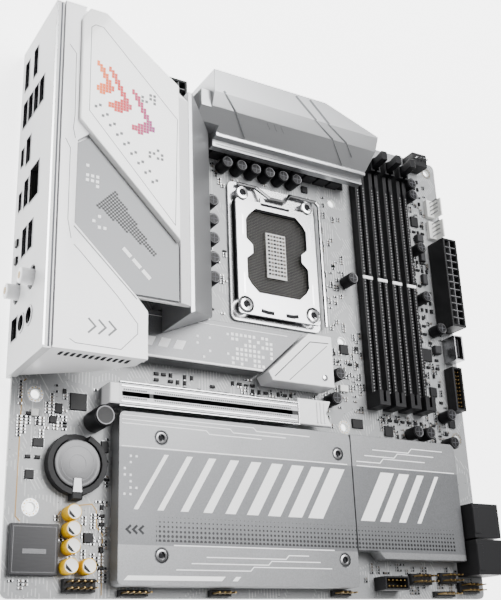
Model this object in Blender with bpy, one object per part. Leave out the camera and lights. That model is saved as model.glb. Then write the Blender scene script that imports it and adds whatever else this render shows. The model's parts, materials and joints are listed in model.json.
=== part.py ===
"""Micro-ATX motherboard, built in Blender as separate pieces.

Sizes are millimetres on the board: X to the right and Y up from the board's lower left corner,
Z out of its component side, with Z = 0 on that side.  PartFrame below turns them into metres.
"""
import math

import bmesh
import bpy
from mathutils import Matrix, Vector

# ---------------------------------------------------------------- overall sizes
MM = 0.001
BOARD_WIDTH = 243.84          # X
BOARD_HEIGHT = 243.84         # Y
BOARD_THICK = 1.6
BOARD_CORNER = 3.0
GAP = 0.3                     # clearance between neighbouring pieces
LEAD_LENGTH = 2.3             # solder leads and pegs below the board
LEAD_RADIUS = 0.7
LEAD_HOLE_RADIUS = LEAD_RADIUS + GAP
ROUND_SIDES = 24
SMALL_SIDES = 12

# ---------------------------------------------------------------- board holes
HOLE_RADIUS = 2.0
HOLE_COLUMN_LEFT = 10.16
HOLE_COLUMN_TOP_LEFT = 33.02
HOLE_COLUMN_MIDDLE = 165.1
HOLE_COLUMN_RIGHT = BOARD_WIDTH - 6.35
HOLE_ROW_TOP = BOARD_HEIGHT - 6.35
HOLE_ROW_MIDDLE = 80.01
HOLE_ROW_LOWER = 34.29
PAD_RADIUS = 4.0              # bare ring around each mounting hole, on the underside
PAD_HEIGHT = 0.1

# ---------------------------------------------------------------- processor socket
SOCKET_X = 128.3
SOCKET_Y = 163.1
COOLER_PITCH = 78.0
COOLER_HOLE_RADIUS = 2.1
SOCKET_SIZE = (45.5, 52.0)
SOCKET_HEIGHT = 3.4
CPU_POCKET = (38.0, 45.5)
CPU_POCKET_DEPTH = 1.6
ILM_SCREW_PITCH = (38.4, 59.4)
ILM_SCREW_HEAD_RADIUS = 3.6
ILM_SCREW_SHANK_RADIUS = 1.4
ILM_SCREW_HEAD_TOP = 5.2
ILM_SCREW_HEAD_HEIGHT = 1.8
ILM_FRAME_SIZE = (51.0, 74.0)
ILM_FRAME_THICK = 1.2
LOAD_PLATE_SIDE = 0.4         # plate beyond the screw heads, at each side
LOAD_PLATE_RIM = 1.2          # and at its lower edge
LOAD_PLATE_TOP_Y = 26.5       # upper edge, from the socket's centre
LOAD_PLATE_LOW_Y = -(ILM_SCREW_PITCH[1] / 2 + ILM_SCREW_HEAD_RADIUS + LOAD_PLATE_RIM)
LOAD_PLATE_SIZE = (ILM_SCREW_PITCH[0] + 2 * (ILM_SCREW_HEAD_RADIUS + LOAD_PLATE_SIDE),
                   LOAD_PLATE_TOP_Y - LOAD_PLATE_LOW_Y)
LOAD_PLATE_CENTRE_Y = (LOAD_PLATE_TOP_Y + LOAD_PLATE_LOW_Y) / 2
LOAD_PLATE_BOTTOM = 3.9
LOAD_PLATE_THICK = 1.2
LOAD_WINDOW_SIZE = (35.4, 44.8)
LOAD_WAIST = 3.6
HINGE_Y = 35.2                # hinge line, above the socket's centre
HINGE_Z = 3.2
LEVER_RADIUS = 1.0
LEVER_ARM_X = 28.0            # arm, right of the socket's centre
LEVER_ARM_LENGTH = 69.0
CRANK_TOP_HALF = 10.0
CRANK_FOOT_HALF = 4.5
CRANK_FOOT_Y = 28.8
LEVER_LEFT = -21.0
BACKPLATE_SIZE = (62.0, 76.0)
BACKPLATE_WINDOW = (30.0, 26.0)

# ---------------------------------------------------------------- memory slots
DIMM_FIRST_X = 183.3
DIMM_PITCH = 9.8
DIMM_COUNT = 4
DIMM_BOTTOM = 90.3
DIMM_LENGTH = 142.0
DIMM_WIDTH = 6.6
DIMM_BODY_TOP = 5.3
DIMM_GUIDE_LENGTH = 7.6
DIMM_GUIDE_TOP = 11.0
DIMM_CARD = 1.5
DIMM_SLOT_DEPTH = 3.4
DIMM_KEY_Y = 160.4
DIMM_KEY_WIDTH = 1.6
DIMM_LATCH_BAY = 7.6
DIMM_LATCH_BAY_WIDTH = 4.4
DIMM_LATCH_WIDTH = DIMM_LATCH_BAY_WIDTH - 2 * GAP
DIMM_LATCH_TOP = 17.0
DIMM_LATCH_PIVOT_Z = 4.8
DIMM_BAY_TOP = 8.6

# ---------------------------------------------------------------- expansion slot
PCIE_LEFT = 38.2
PCIE_LENGTH = 93.0
PCIE_Y = 81.2
PCIE_WIDTH = 9.0
PCIE_TOP = 11.0
PCIE_CARD = 1.9
PCIE_SLOT_DEPTH = 7.5
PCIE_KEY_X = 57.0
PCIE_KEY_WIDTH = 1.9
PCIE_ARMOUR_WALL = 0.6
PCIE_ARMOUR_BOTTOM = 2.0
PCIE_BLOCK_LENGTH = 4.4
PCIE_LATCH = ((132.8, 77.0), (151.8, 89.4))
PCIE_LATCH_Z = (5.6, 8.6)
PCIE_LATCH_PIVOT = (134.6, 7.1)      # X and Z

# ---------------------------------------------------------------- storage and chipset heatsinks
M2_UPPER = (50.5, 99.0, 120.7)       # left, lower edge, upper edge
M2_UPPER_Z = (1.2, 10.0)
M2_UPPER_END_LOW = 113.6             # right end at the lower edge
M2_UPPER_END_HIGH = 137.2            # right end at the upper edge
M2_LATCH_RIGHT = 152.0
M2_LATCH_DROP = 4.0                  # how far it reaches below the heatsink's lower edge
M2_LATCH_TOP = 12.5
M2_CONNECTOR = (8.0, 21.8, 4.0)
LOWER_LEFT = 43.4
LOWER_RIGHT = 161.0
LOWER_BOTTOM = 4.2
LOWER_TOP = 74.4
LOWER_Z = (1.2, 9.0)
CHIPSET_RIGHT = 226.6
CHIPSET_BOTTOM = 17.0
CHIPSET_STEP = (11.5, 3.6)           # notch at its lower left
HEATSINK_CORNER = 2.2
HEATSINK_SCREW_INSET = (19.2, 10.1)
HEATSINK_SCREW_BOTTOM_Y = 16.1
HEATSINK_SCREW_RIGHT_INSET = 7.4
HEATSINK_SCREW_RADIUS = 2.9
HEATSINK_SCREW_HEAD = 2.2
HEATSINK_SCREW_SHANK = 1.3
CHIPSET_CENTRE = (196.0, 46.0)
CHIPSET_SIZE = (25.0, 24.0, 2.0)
LOWER_M2_CONNECTOR_X = 148.0

# ---------------------------------------------------------------- power stage heatsinks
TOP_SINK_RIGHT = 178.5
TOP_SINK_LEFT = 81.0
TOP_SINK_SHELF_LEFT = 75.6
TOP_SINK_RAIL_LEFT = 88.4
TOP_SINK_BACK = 241.4
TOP_SINK_BACK_CUT = (146.0, 230.0)   # where the back edge starts to slant, and where it ends
TOP_SINK_PROFILE = ((241.4, 2.0), (241.4, 30.0), (229.0, 30.0), (222.4, 27.0), (215.5, 17.0),
                    (213.4, 17.0), (213.4, 13.2), (209.8, 13.2), (209.8, 9.0), (219.0, 9.0), (219.0, 2.0))
TOP_SHELF_Z = 26.5
LEFT_SINK_PROFILE = ((61.8, 2.0), (61.8, 39.0), (64.0, 39.0), (86.6, 12.4), (86.6, 9.0),
                     (75.0, 9.0), (75.0, 2.0))
LEFT_SINK_Y = (109.6, 217.2)
LEFT_SINK_FOOT_Y = 121.6
LEFT_SINK_FOOT_Z = 11.0
CORNER_LIMIT_Y = 217.5               # the top heatsink stays above this left of its rail

# ---------------------------------------------------------------- rear panel
SHIELD_FACE = -1.6
SHIELD_THICK = 0.8
SHIELD_Y = (86.0, 242.6)
SHIELD_Z = (-3.0, 41.6)
SHIELD_RIM_DEPTH = 2.6
SHIELD_RIM_WALL = 0.6
COVER_LEFT = SHIELD_FACE + SHIELD_THICK + SHIELD_RIM_DEPTH + GAP
COVER_RIGHT = 61.4
COVER_Y = (86.5, 243.4)
COVER_TOP = 42.0
COVER_WALL = 1.8
COVER_STEP = 2.4                     # the grey plate's bed lies this far below the white top
COVER_NOTCH = ((41.0, 106.4), (35.6, 112.8))
COVER_STRIP_TOP = 211.0              # upper end of the sloping strip on its right edge
GREY_THICK = 1.1
GREY_CORNER = (9.2, 139.0)
GREY_UPPER = (9.4, 176.4)
PANEL_OUTLINE = ((9.6, 214.0), (9.6, 186.0), (55.4, 139.4), (55.4, 215.4), (20.6, 242.4), (13.0, 242.4),
                 (9.6, 236.0))
PANEL_TOP = 43.6
PORT_BACK = 20.0
ANTENNA_PROUD = 5.0                  # the antenna sockets' reach in front of the shield

# ---------------------------------------------------------------- connectors and small parts
ATX_BOX = ((232.4, 138.6, 0.0), (242.0, 190.2, 12.8))
EPS_BOX = ((58.6, 232.6, 0.0), (75.2, 242.4, 12.8))
USB3_BOX = ((233.8, 93.8, 0.0), (240.5, 117.6, 7.0))
USBC_BOX = ((235.2, 121.0, 0.0), (241.0, 134.6, 9.6))
SOCKET_WALL = 1.2
SATA_X = (227.8, 244.8)
SATA_Y = ((27.6, 44.2), (10.2, 26.8))
SATA_TOP = 15.5
SATA_MOUTH_DEPTH = 6.0
FAN_BOX = ((220.6, 235.0, 0.0), (230.8, 243.0, 9.0))
AUDIO_HEADER_BOX = ((23.6, 2.2, 0.0), (37.0, 7.4, 8.6))
PANEL_HEADER_BOX = ((175.6, 3.4, 0.0), (189.6, 9.6, 8.8))
BATTERY_CENTRE = (27.6, 51.9)
BATTERY_RADIUS = 10.0
BATTERY_Z = (1.2, 4.4)
HOLDER_RADIUS = BATTERY_RADIUS + 2.8
HOLDER_TOP = 4.6
HOLDER_OPENING = 50.0                # degrees left open at the top
CODEC_BOX = ((2.0, 8.3, 0.0), (21.4, 27.8, 2.6))
BIG_CAP = (35.4, 70.5, 4.6, 13.6)    # x, y, radius, height


class PartFrame:
    """Board millimetres to part metres: X and Y centred on the whole part, Z up from its lowest face."""
    X = (SHIELD_FACE - ANTENNA_PROUD + SATA_X[1]) / 2
    Y = BOARD_HEIGHT / 2
    Z = -BOARD_THICK - LEAD_LENGTH

    @classmethod
    def point(cls, x, y, z):
        return Vector(((x - cls.X) * MM, (y - cls.Y) * MM, (z - cls.Z) * MM))


# ---------------------------------------------------------------- scene helpers
def fresh_collection(name):
    collection = bpy.data.collections.new(name)
    bpy.context.scene.collection.children.link(collection)
    return collection


for old in list(bpy.data.objects):
    bpy.data.objects.remove(old, do_unlink=True)
PARTS = fresh_collection("motherboard")
CUTTERS = fresh_collection("cutters")
LEAD_SITES = []
MATERIALS = {}


def material(name, colour, roughness=0.5, metallic=0.0):
    if name not in MATERIALS:
        made = bpy.data.materials.new(name)
        made.use_nodes = True
        shader = made.node_tree.nodes["Principled BSDF"]
        shader.inputs["Base Color"].default_value = (*colour, 1.0)
        shader.inputs["Roughness"].default_value = roughness
        shader.inputs["Metallic"].default_value = metallic
        MATERIALS[name] = made
    return MATERIALS[name]


def white_plastic():
    return material("white_plastic", (0.86, 0.87, 0.88), 0.45)


def black_plastic():
    return material("black_plastic", (0.02, 0.02, 0.022), 0.4)


def steel():
    return material("bright_steel", (0.72, 0.73, 0.75), 0.25, 1.0)


def silver_aluminium():
    return material("silver_aluminium", (0.66, 0.67, 0.69), 0.42, 0.8)


def new_object(name, mesh, collection=None):
    made = bpy.data.objects.new(name, mesh)
    (collection or PARTS).objects.link(made)
    return made


def finish(made, finish_material, smooth_angle=None):
    made.data.materials.clear()
    made.data.materials.append(finish_material)
    if smooth_angle is not None:
        made.data.shade_smooth()
        made.data.set_sharp_from_angle(angle=math.radians(smooth_angle))
    return made


def box(name, low, high, collection=None):
    """A block between two corners, in board millimetres, with its origin at its centre."""
    size = Vector(high) - Vector(low)
    mesh = bpy.data.meshes.new(name)
    shape = bmesh.new()
    bmesh.ops.create_cube(shape, size=1.0)
    bmesh.ops.scale(shape, vec=size * MM, verts=shape.verts)
    shape.to_mesh(mesh)
    shape.free()
    made = new_object(name, mesh, collection)
    made.location = PartFrame.point(*((Vector(low) + Vector(high)) / 2))
    return made


def cylinder(name, centre, radius, bottom, top, sides=ROUND_SIDES, collection=None):
    """An upright round bar or disc."""
    mesh = bpy.data.meshes.new(name)
    shape = bmesh.new()
    bmesh.ops.create_cone(shape, cap_ends=True, segments=sides, radius1=radius * MM,
                          radius2=radius * MM, depth=(top - bottom) * MM)
    shape.to_mesh(mesh)
    shape.free()
    made = new_object(name, mesh, collection)
    made.location = PartFrame.point(centre[0], centre[1], (bottom + top) / 2)
    return made


def circle(centre, radius, sides=ROUND_SIDES):
    return [(centre[0] + radius * math.cos(math.tau * step / sides),
             centre[1] + radius * math.sin(math.tau * step / sides)) for step in range(sides)]


def rectangle(low, high, corner=0.0, corner_steps=4):
    """A rectangle's outline, with rounded corners if a corner radius is given."""
    if corner <= 0:
        return [(low[0], low[1]), (high[0], low[1]), (high[0], high[1]), (low[0], high[1])]
    points = []
    centres = ((high[0] - corner, low[1] + corner, -90), (high[0] - corner, high[1] - corner, 0),
               (low[0] + corner, high[1] - corner, 90), (low[0] + corner, low[1] + corner, 180))
    for cx, cy, start in centres:
        for step in range(corner_steps + 1):
            angle = math.radians(start + 90 * step / corner_steps)
            points.append((cx + corner * math.cos(angle), cy + corner * math.sin(angle)))
    return points


def as_mesh(curve_object, name, collection=None):
    """Turn a filled curve into a closed mesh object with welded caps."""
    bpy.context.view_layer.update()
    evaluated = curve_object.evaluated_get(bpy.context.evaluated_depsgraph_get())
    mesh = bpy.data.meshes.new_from_object(evaluated)
    mesh.name = name
    shape = bmesh.new()
    shape.from_mesh(mesh)
    bmesh.ops.remove_doubles(shape, verts=shape.verts, dist=0.00001)
    shape.to_mesh(mesh)
    shape.free()
    matrix = curve_object.matrix_world.copy()
    bpy.data.objects.remove(curve_object, do_unlink=True)
    made = new_object(name, mesh, collection)
    made.matrix_world = matrix
    return made


def plate(name, outlines, low, high, facing="Z", collection=None):
    """Flat outlines (the later ones are holes) extruded from low to high along an axis.

    Outline points are (x, y) for Z, (y, z) for X and (x, z) for Y.
    """
    curve = bpy.data.curves.new(name, "CURVE")
    curve.dimensions = "2D"
    curve.fill_mode = "BOTH"
    curve.extrude = (high - low) / 2 * MM
    for outline in outlines:
        spline = curve.splines.new("POLY")
        spline.points.add(len(outline) - 1)
        for point, (u, v) in zip(spline.points, outline):
            point.co = (u * MM, v * MM, 0.0, 1.0)
        spline.use_cyclic_u = True
    flat = bpy.data.objects.new(name + "_outline", curve)
    CUTTERS.objects.link(flat)
    middle = (low + high) / 2
    if facing == "Z":
        flat.location = PartFrame.point(0, 0, middle)
    elif facing == "X":
        flat.rotation_euler = (math.pi / 2, 0, math.pi / 2)
        flat.location = PartFrame.point(middle, 0, 0)
    else:
        flat.rotation_euler = (math.pi / 2, 0, 0)
        flat.location = PartFrame.point(0, middle, 0)
    return as_mesh(flat, name, collection)


def combine(made, tool, operation):
    """Join a tool to a piece, or cut it away, and put the tool with the cutters."""
    for owner in list(tool.users_collection):
        owner.objects.unlink(tool)
    CUTTERS.objects.link(tool)
    tool.hide_render = True
    tool.hide_viewport = False
    tool.display_type = "WIRE"
    modifier = made.modifiers.new(operation.lower() + "_" + tool.name, "BOOLEAN")
    modifier.operation = operation
    modifier.solver = "EXACT"
    modifier.object = tool
    return made


def cut(made, tool):
    return combine(made, tool, "DIFFERENCE")


def join(made, tool):
    return combine(made, tool, "UNION")


ROUND_ANGLE = 40         # faces that meet at less than this many degrees are shaded as one curve


def add_leads(made, sites, seat=0.0):
    """Solder leads or pegs through the board, and their places for the board's holes."""
    for number, site in enumerate(sites):
        name = f"{made.name}_lead_{number}"
        lead = cylinder(name, site, LEAD_RADIUS, -BOARD_THICK - LEAD_LENGTH, seat + 1.0, sides=8)
        join(made, lead)
        LEAD_SITES.append(site)
    return made


def set_pivot(made, pivot):
    """Move an object's origin onto its joint axis without moving its shape."""
    target = PartFrame.point(*pivot)
    bpy.context.view_layer.update()
    shift = made.matrix_world.inverted() @ target
    made.data.transform(Matrix.Translation(-shift))
    made.location = target
    return made


# ---------------------------------------------------------------- processor socket pieces
def ilm_screw_sites():
    return [(SOCKET_X + side * ILM_SCREW_PITCH[0] / 2, SOCKET_Y + end * ILM_SCREW_PITCH[1] / 2)
            for end in (1, -1) for side in (-1, 1)]


def centred(size, centre=(SOCKET_X, SOCKET_Y), grow=0.0):
    """Lower left and upper right corners of a rectangle around a centre."""
    half = (size[0] / 2 + grow, size[1] / 2 + grow)
    return (centre[0] - half[0], centre[1] - half[1]), (centre[0] + half[0], centre[1] + half[1])


def make_socket_backplate():
    top = -BOARD_THICK - GAP
    outlines = [rectangle(*centred(BACKPLATE_SIZE), corner=4.0), rectangle(*centred(BACKPLATE_WINDOW))]
    made = plate("socket_backplate", outlines, -BOARD_THICK - LEAD_LENGTH, top)
    finish(made, material("dark_steel", (0.12, 0.12, 0.13), 0.45, 0.9))


def make_socket_body():
    low, high = centred(SOCKET_SIZE)
    made = box("socket_body", (*low, GAP), (*high, SOCKET_HEIGHT))
    low, high = centred(CPU_POCKET)
    cut(made, box("socket_pocket", (*low, SOCKET_HEIGHT - CPU_POCKET_DEPTH), (*high, SOCKET_HEIGHT + 1)))
    finish(made, material("socket_grey", (0.16, 0.16, 0.17), 0.5))


def make_ilm_frame():
    outlines = [rectangle(*centred(ILM_FRAME_SIZE), corner=3.0), rectangle(*centred(SOCKET_SIZE, grow=GAP))]
    outlines += [circle(site, ILM_SCREW_SHANK_RADIUS + GAP, SMALL_SIDES) for site in ilm_screw_sites()]
    finish(plate("ilm_frame", outlines, GAP, GAP + ILM_FRAME_THICK), steel())


LOAD_WAIST_RISE = (2.2, 5.4)   # where each waist ends and where its slope meets the side
LOAD_WINDOW_CORNER = ((0.0, 7.0), (1.8, 4.0), (6.0, 0.0))   # the corner's cuts, in from side and end


def make_load_plate():
    """The load plate: a window with two waists, corners cut round the screw heads, and a tail."""
    top = LOAD_PLATE_BOTTOM + LOAD_PLATE_THICK
    centre = (SOCKET_X, SOCKET_Y + LOAD_PLATE_CENTRE_Y)
    made = plate("ilm_load_plate", [rectangle(*centred(LOAD_PLATE_SIZE, centre), corner=1.5)],
                 LOAD_PLATE_BOTTOM, top)
    tail_low = (SOCKET_X - CRANK_TOP_HALF + 1, centre[1] + LOAD_PLATE_SIZE[1] / 2 - 1)
    tail_high = (SOCKET_X + CRANK_TOP_HALF - 1, SOCKET_Y + CRANK_FOOT_Y + LEVER_RADIUS / 2)
    join(made, box("load_plate_tail", (*tail_low, LOAD_PLATE_BOTTOM), (*tail_high, top)))
    half_x, half_y = LOAD_WINDOW_SIZE[0] / 2, LOAD_WINDOW_SIZE[1] / 2
    waist_x = half_x - LOAD_WAIST
    quarter = [(waist_x, 0.0), (waist_x, LOAD_WAIST_RISE[0]), (half_x, LOAD_WAIST_RISE[1])]
    quarter += [(half_x - x, half_y - y) for x, y in LOAD_WINDOW_CORNER]
    right = [(x, -y) for x, y in reversed(quarter[1:])] + quarter
    window = [(SOCKET_X + x, SOCKET_Y + y) for x, y in right]
    window += [(SOCKET_X - x, SOCKET_Y + y) for x, y in reversed(right)]
    cut(made, plate("load_window", [window], LOAD_PLATE_BOTTOM - 1, top + 1))
    notches = [circle(site, ILM_SCREW_HEAD_RADIUS + 2 * GAP, ROUND_SIDES) for site in ilm_screw_sites()]
    cut(made, plate("load_notches", notches, LOAD_PLATE_BOTTOM - 1, top + 1))
    set_pivot(made, (SOCKET_X, SOCKET_Y + HINGE_Y, HINGE_Z))
    finish(made, steel())


def make_lever():
    """The load lever: an axle with a bent crank over the plate's tail, and a long arm on the right."""
    foot_z = LOAD_PLATE_BOTTOM + LOAD_PLATE_THICK + 2 * GAP + LEVER_RADIUS
    arm_end = HINGE_Y - LEVER_ARM_LENGTH
    route = [(LEVER_LEFT, HINGE_Y, HINGE_Z), (-CRANK_TOP_HALF, HINGE_Y, HINGE_Z),
             (-CRANK_FOOT_HALF, CRANK_FOOT_Y, foot_z), (CRANK_FOOT_HALF, CRANK_FOOT_Y, foot_z),
             (CRANK_TOP_HALF, HINGE_Y, HINGE_Z), (LEVER_ARM_X - 2, HINGE_Y, HINGE_Z),
             (LEVER_ARM_X, HINGE_Y - 2, HINGE_Z), (LEVER_ARM_X, arm_end, HINGE_Z)]
    curve = bpy.data.curves.new("ilm_lever", "CURVE")
    curve.dimensions = "3D"
    curve.bevel_depth = LEVER_RADIUS * MM
    curve.bevel_resolution = 2
    curve.use_fill_caps = True
    spline = curve.splines.new("POLY")
    spline.points.add(len(route) - 1)
    for point, (x, y, z) in zip(spline.points, route):
        point.co = (x * MM, (y - HINGE_Y) * MM, (z - HINGE_Z) * MM, 1.0)
    wire = bpy.data.objects.new("ilm_lever_wire", curve)
    CUTTERS.objects.link(wire)
    wire.location = PartFrame.point(SOCKET_X, SOCKET_Y + HINGE_Y, HINGE_Z)
    finish(as_mesh(wire, "ilm_lever"), steel(), ROUND_ANGLE)


def make_ilm_screws():
    for number, site in enumerate(ilm_screw_sites(), 1):
        head = cylinder(f"ilm_screw_{number}", site, ILM_SCREW_HEAD_RADIUS,
                        ILM_SCREW_HEAD_TOP - ILM_SCREW_HEAD_HEIGHT, ILM_SCREW_HEAD_TOP)
        join(head, cylinder(f"ilm_shank_{number}", site, ILM_SCREW_SHANK_RADIUS, -BOARD_THICK - GAP / 2,
                            ILM_SCREW_HEAD_TOP - 1, SMALL_SIDES))
        finish(head, steel(), ROUND_ANGLE)


# ---------------------------------------------------------------- memory slots and latches
def make_memory_slots():
    far = DIMM_BOTTOM + DIMM_LENGTH
    half = DIMM_WIDTH / 2
    floor = DIMM_BODY_TOP - DIMM_SLOT_DEPTH
    for number in range(DIMM_COUNT):
        x = DIMM_FIRST_X + number * DIMM_PITCH
        name = f"memory_slot_{number + 1}"
        guide_end = DIMM_BOTTOM + DIMM_GUIDE_LENGTH
        bay_start = far - DIMM_LATCH_BAY - 1.0
        profile = [(DIMM_BOTTOM, GAP), (far, GAP), (far, DIMM_BAY_TOP), (bay_start, DIMM_BAY_TOP),
                   (bay_start, DIMM_BODY_TOP), (guide_end, DIMM_BODY_TOP), (guide_end, DIMM_GUIDE_TOP),
                   (DIMM_BOTTOM, DIMM_GUIDE_TOP)]
        made = plate(name, [profile], x - half, x + half, facing="X")
        card = DIMM_CARD / 2
        bay = DIMM_LATCH_BAY_WIDTH / 2
        cut(made, box(name + "_card_low", (x - card, DIMM_BOTTOM + 2, floor),
                      (x + card, DIMM_KEY_Y - DIMM_KEY_WIDTH / 2, DIMM_GUIDE_TOP + 1)))
        cut(made, box(name + "_card_high", (x - card, DIMM_KEY_Y + DIMM_KEY_WIDTH / 2, floor),
                      (x + card, far - DIMM_LATCH_BAY + 1, DIMM_GUIDE_TOP + 1)))
        cut(made, box(name + "_latch_bay", (x - bay, far - DIMM_LATCH_BAY, 1.0),
                      (x + bay, far + 1, DIMM_GUIDE_TOP + 1)))
        add_leads(made, [(x, DIMM_BOTTOM + 4), (x, far - 10)])
        finish(made, black_plastic())


DIMM_LATCH_PIVOT_INSET = 2.7   # the latch's pivot, in from the slot's far end
DIMM_LATCH_PROFILE = ((-3.3, 2.4), (1.6, 2.4), (2.3, 6.0), (1.4, 11.6), (2.6, DIMM_LATCH_TOP),
                      (-2.6, DIMM_LATCH_TOP), (-3.3, 12.0))   # about the pivot, Y and Z


def make_memory_latches():
    far = DIMM_BOTTOM + DIMM_LENGTH
    pivot_y = far - DIMM_LATCH_PIVOT_INSET
    for number in range(DIMM_COUNT):
        x = DIMM_FIRST_X + number * DIMM_PITCH
        half = DIMM_LATCH_WIDTH / 2
        profile = [(pivot_y + y, z) for y, z in DIMM_LATCH_PROFILE]
        made = plate(f"memory_latch_{number + 1}", [profile], x - half, x + half, facing="X")
        set_pivot(made, (x, pivot_y, DIMM_LATCH_PIVOT_Z))
        finish(made, material("latch_black", (0.05, 0.05, 0.055), 0.35))


# ---------------------------------------------------------------- expansion slot
def make_expansion_slot():
    right = PCIE_LEFT + PCIE_LENGTH
    half = PCIE_WIDTH / 2
    made = box("expansion_slot", (PCIE_LEFT, PCIE_Y - half, GAP), (right, PCIE_Y + half, PCIE_TOP))
    card = PCIE_CARD / 2
    floor = PCIE_TOP - PCIE_SLOT_DEPTH
    for label, start, end in (("short", PCIE_LEFT + 5.8, PCIE_KEY_X - PCIE_KEY_WIDTH / 2),
                              ("long", PCIE_KEY_X + PCIE_KEY_WIDTH / 2, right - 3.2)):
        cut(made, box("card_" + label, (start, PCIE_Y - card, floor), (end, PCIE_Y + card, PCIE_TOP + 1)))
    add_leads(made, [(PCIE_LEFT + 2.4, PCIE_Y), (right - 2.4, PCIE_Y), (PCIE_KEY_X, PCIE_Y)])
    finish(made, material("slot_grey", (0.45, 0.46, 0.47), 0.5))

    inner = half + GAP
    outer = inner + PCIE_ARMOUR_WALL
    start = PCIE_LEFT + PCIE_BLOCK_LENGTH
    shape = [(start, PCIE_Y - outer), (right + GAP + PCIE_ARMOUR_WALL, PCIE_Y - outer),
             (right + GAP + PCIE_ARMOUR_WALL, PCIE_Y + outer), (start, PCIE_Y + outer),
             (start, PCIE_Y + inner), (right + GAP, PCIE_Y + inner), (right + GAP, PCIE_Y - inner),
             (start, PCIE_Y - inner)]
    finish(plate("expansion_slot_armour", [shape], PCIE_ARMOUR_BOTTOM, PCIE_TOP), steel())


def make_expansion_latch():
    low, high = PCIE_LATCH
    middle = (low[1] + high[1]) / 2
    shape = [low, (high[0], low[1]), (high[0] - 3.0, middle), (high[0], high[1]), (low[0], high[1])]
    made = plate("expansion_latch", [shape], *PCIE_LATCH_Z)
    set_pivot(made, (PCIE_LATCH_PIVOT[0], middle, PCIE_LATCH_PIVOT[1]))
    finish(made, white_plastic())


# ---------------------------------------------------------------- storage and chipset
M2_LATCH_LEAN = 2.2      # how far the latch's end leans right as it drops below the heatsink
M2_MOUTH_FLOOR = 1.4     # a storage connector's mouth starts here
M2_MOUTH_WALL = 1.0      # and leaves this much at each end and above
M2_MOUTH_REACH = 3.0     # how deep the mouth is
M2_CLEAR = 5 * GAP       # between the heatsink's end and its latch


def make_upper_storage():
    left, low, high = M2_UPPER
    outline = [(left, low), (M2_UPPER_END_LOW, low), (M2_UPPER_END_HIGH, high), (left, high)]
    finish(plate("storage_heatsink_upper", [outline], *M2_UPPER_Z), silver_aluminium())

    bottom = low - M2_LATCH_DROP
    foot = M2_UPPER_END_LOW + M2_CLEAR
    outline = [(foot, low), (foot + M2_LATCH_LEAN, bottom), (M2_LATCH_RIGHT, bottom),
               (M2_LATCH_RIGHT, high), (M2_UPPER_END_HIGH + M2_CLEAR, high)]
    made = plate("storage_latch", [outline], M2_UPPER_Z[0], M2_LATCH_TOP)
    finish(made, white_plastic())

    depth, width, height = M2_CONNECTOR
    middle = (low + high) / 2
    face = left - 1
    made = box("storage_connector_upper", (face - depth, middle - width / 2, GAP),
               (face, middle + width / 2, height))
    half = width / 2 - M2_MOUTH_WALL
    cut(made, box("storage_mouth_upper", (face - M2_MOUTH_REACH, middle - half, M2_MOUTH_FLOOR),
                  (face + 1, middle + half, height - M2_MOUTH_WALL)))
    finish(made, black_plastic())


def heatsink_screw_sites():
    left = LOWER_LEFT + HEATSINK_SCREW_INSET[0]
    right = LOWER_RIGHT - HEATSINK_SCREW_RIGHT_INSET
    top = LOWER_TOP - HEATSINK_SCREW_INSET[1]
    return [(left, top), (right, top), (left, HEATSINK_SCREW_BOTTOM_Y), (right, HEATSINK_SCREW_BOTTOM_Y)]


LOWER_LID = 4.2          # the lower heatsink's thickness over the drive
LOWER_WALL = 2.6         # and its walls around it


def make_lower_storage():
    bottom, top = LOWER_Z
    outline = rectangle((LOWER_LEFT, LOWER_BOTTOM), (LOWER_RIGHT, LOWER_TOP), HEATSINK_CORNER, 2)
    made = plate("storage_heatsink_lower", [outline], bottom, top)
    cut(made, box("storage_room", (LOWER_LEFT + LOWER_WALL, LOWER_BOTTOM + LOWER_WALL, bottom - 1),
                  (LOWER_RIGHT - LOWER_WALL, LOWER_TOP - LOWER_WALL, top - LOWER_LID)))
    pocket_floor = top - HEATSINK_SCREW_HEAD - GAP
    pockets = [circle(site, HEATSINK_SCREW_RADIUS + GAP, SMALL_SIDES) for site in heatsink_screw_sites()]
    cut(made, plate("screw_pockets", pockets, pocket_floor, top + 1))
    bores = [circle(site, HEATSINK_SCREW_SHANK + GAP, SMALL_SIDES) for site in heatsink_screw_sites()]
    cut(made, plate("screw_bores", bores, bottom - 1, top + 1))
    finish(made, silver_aluminium())
    for number, site in enumerate(heatsink_screw_sites(), 1):
        head = cylinder(f"heatsink_screw_{number}", site, HEATSINK_SCREW_RADIUS,
                        top - HEATSINK_SCREW_HEAD, top, SMALL_SIDES)
        join(head, cylinder(f"heatsink_shank_{number}", site, HEATSINK_SCREW_SHANK,
                            GAP, top - 1, SMALL_SIDES))
        finish(head, steel(), ROUND_ANGLE)
    depth, width, height = M2_CONNECTOR
    y = (LOWER_BOTTOM + LOWER_TOP) / 2
    face = LOWER_M2_CONNECTOR_X - depth
    made = box("storage_connector_lower", (face, y - width / 2, GAP),
               (LOWER_M2_CONNECTOR_X, y + width / 2, height))
    half = width / 2 - M2_MOUTH_WALL
    cut(made, box("storage_mouth_lower", (face - 1, y - half, M2_MOUTH_FLOOR),
                  (face + M2_MOUTH_REACH, y + half, height - M2_MOUTH_WALL)))
    finish(made, black_plastic())


CHIP_CLEAR = 2.0         # between the chipset and the heatsink that sits over it


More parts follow.
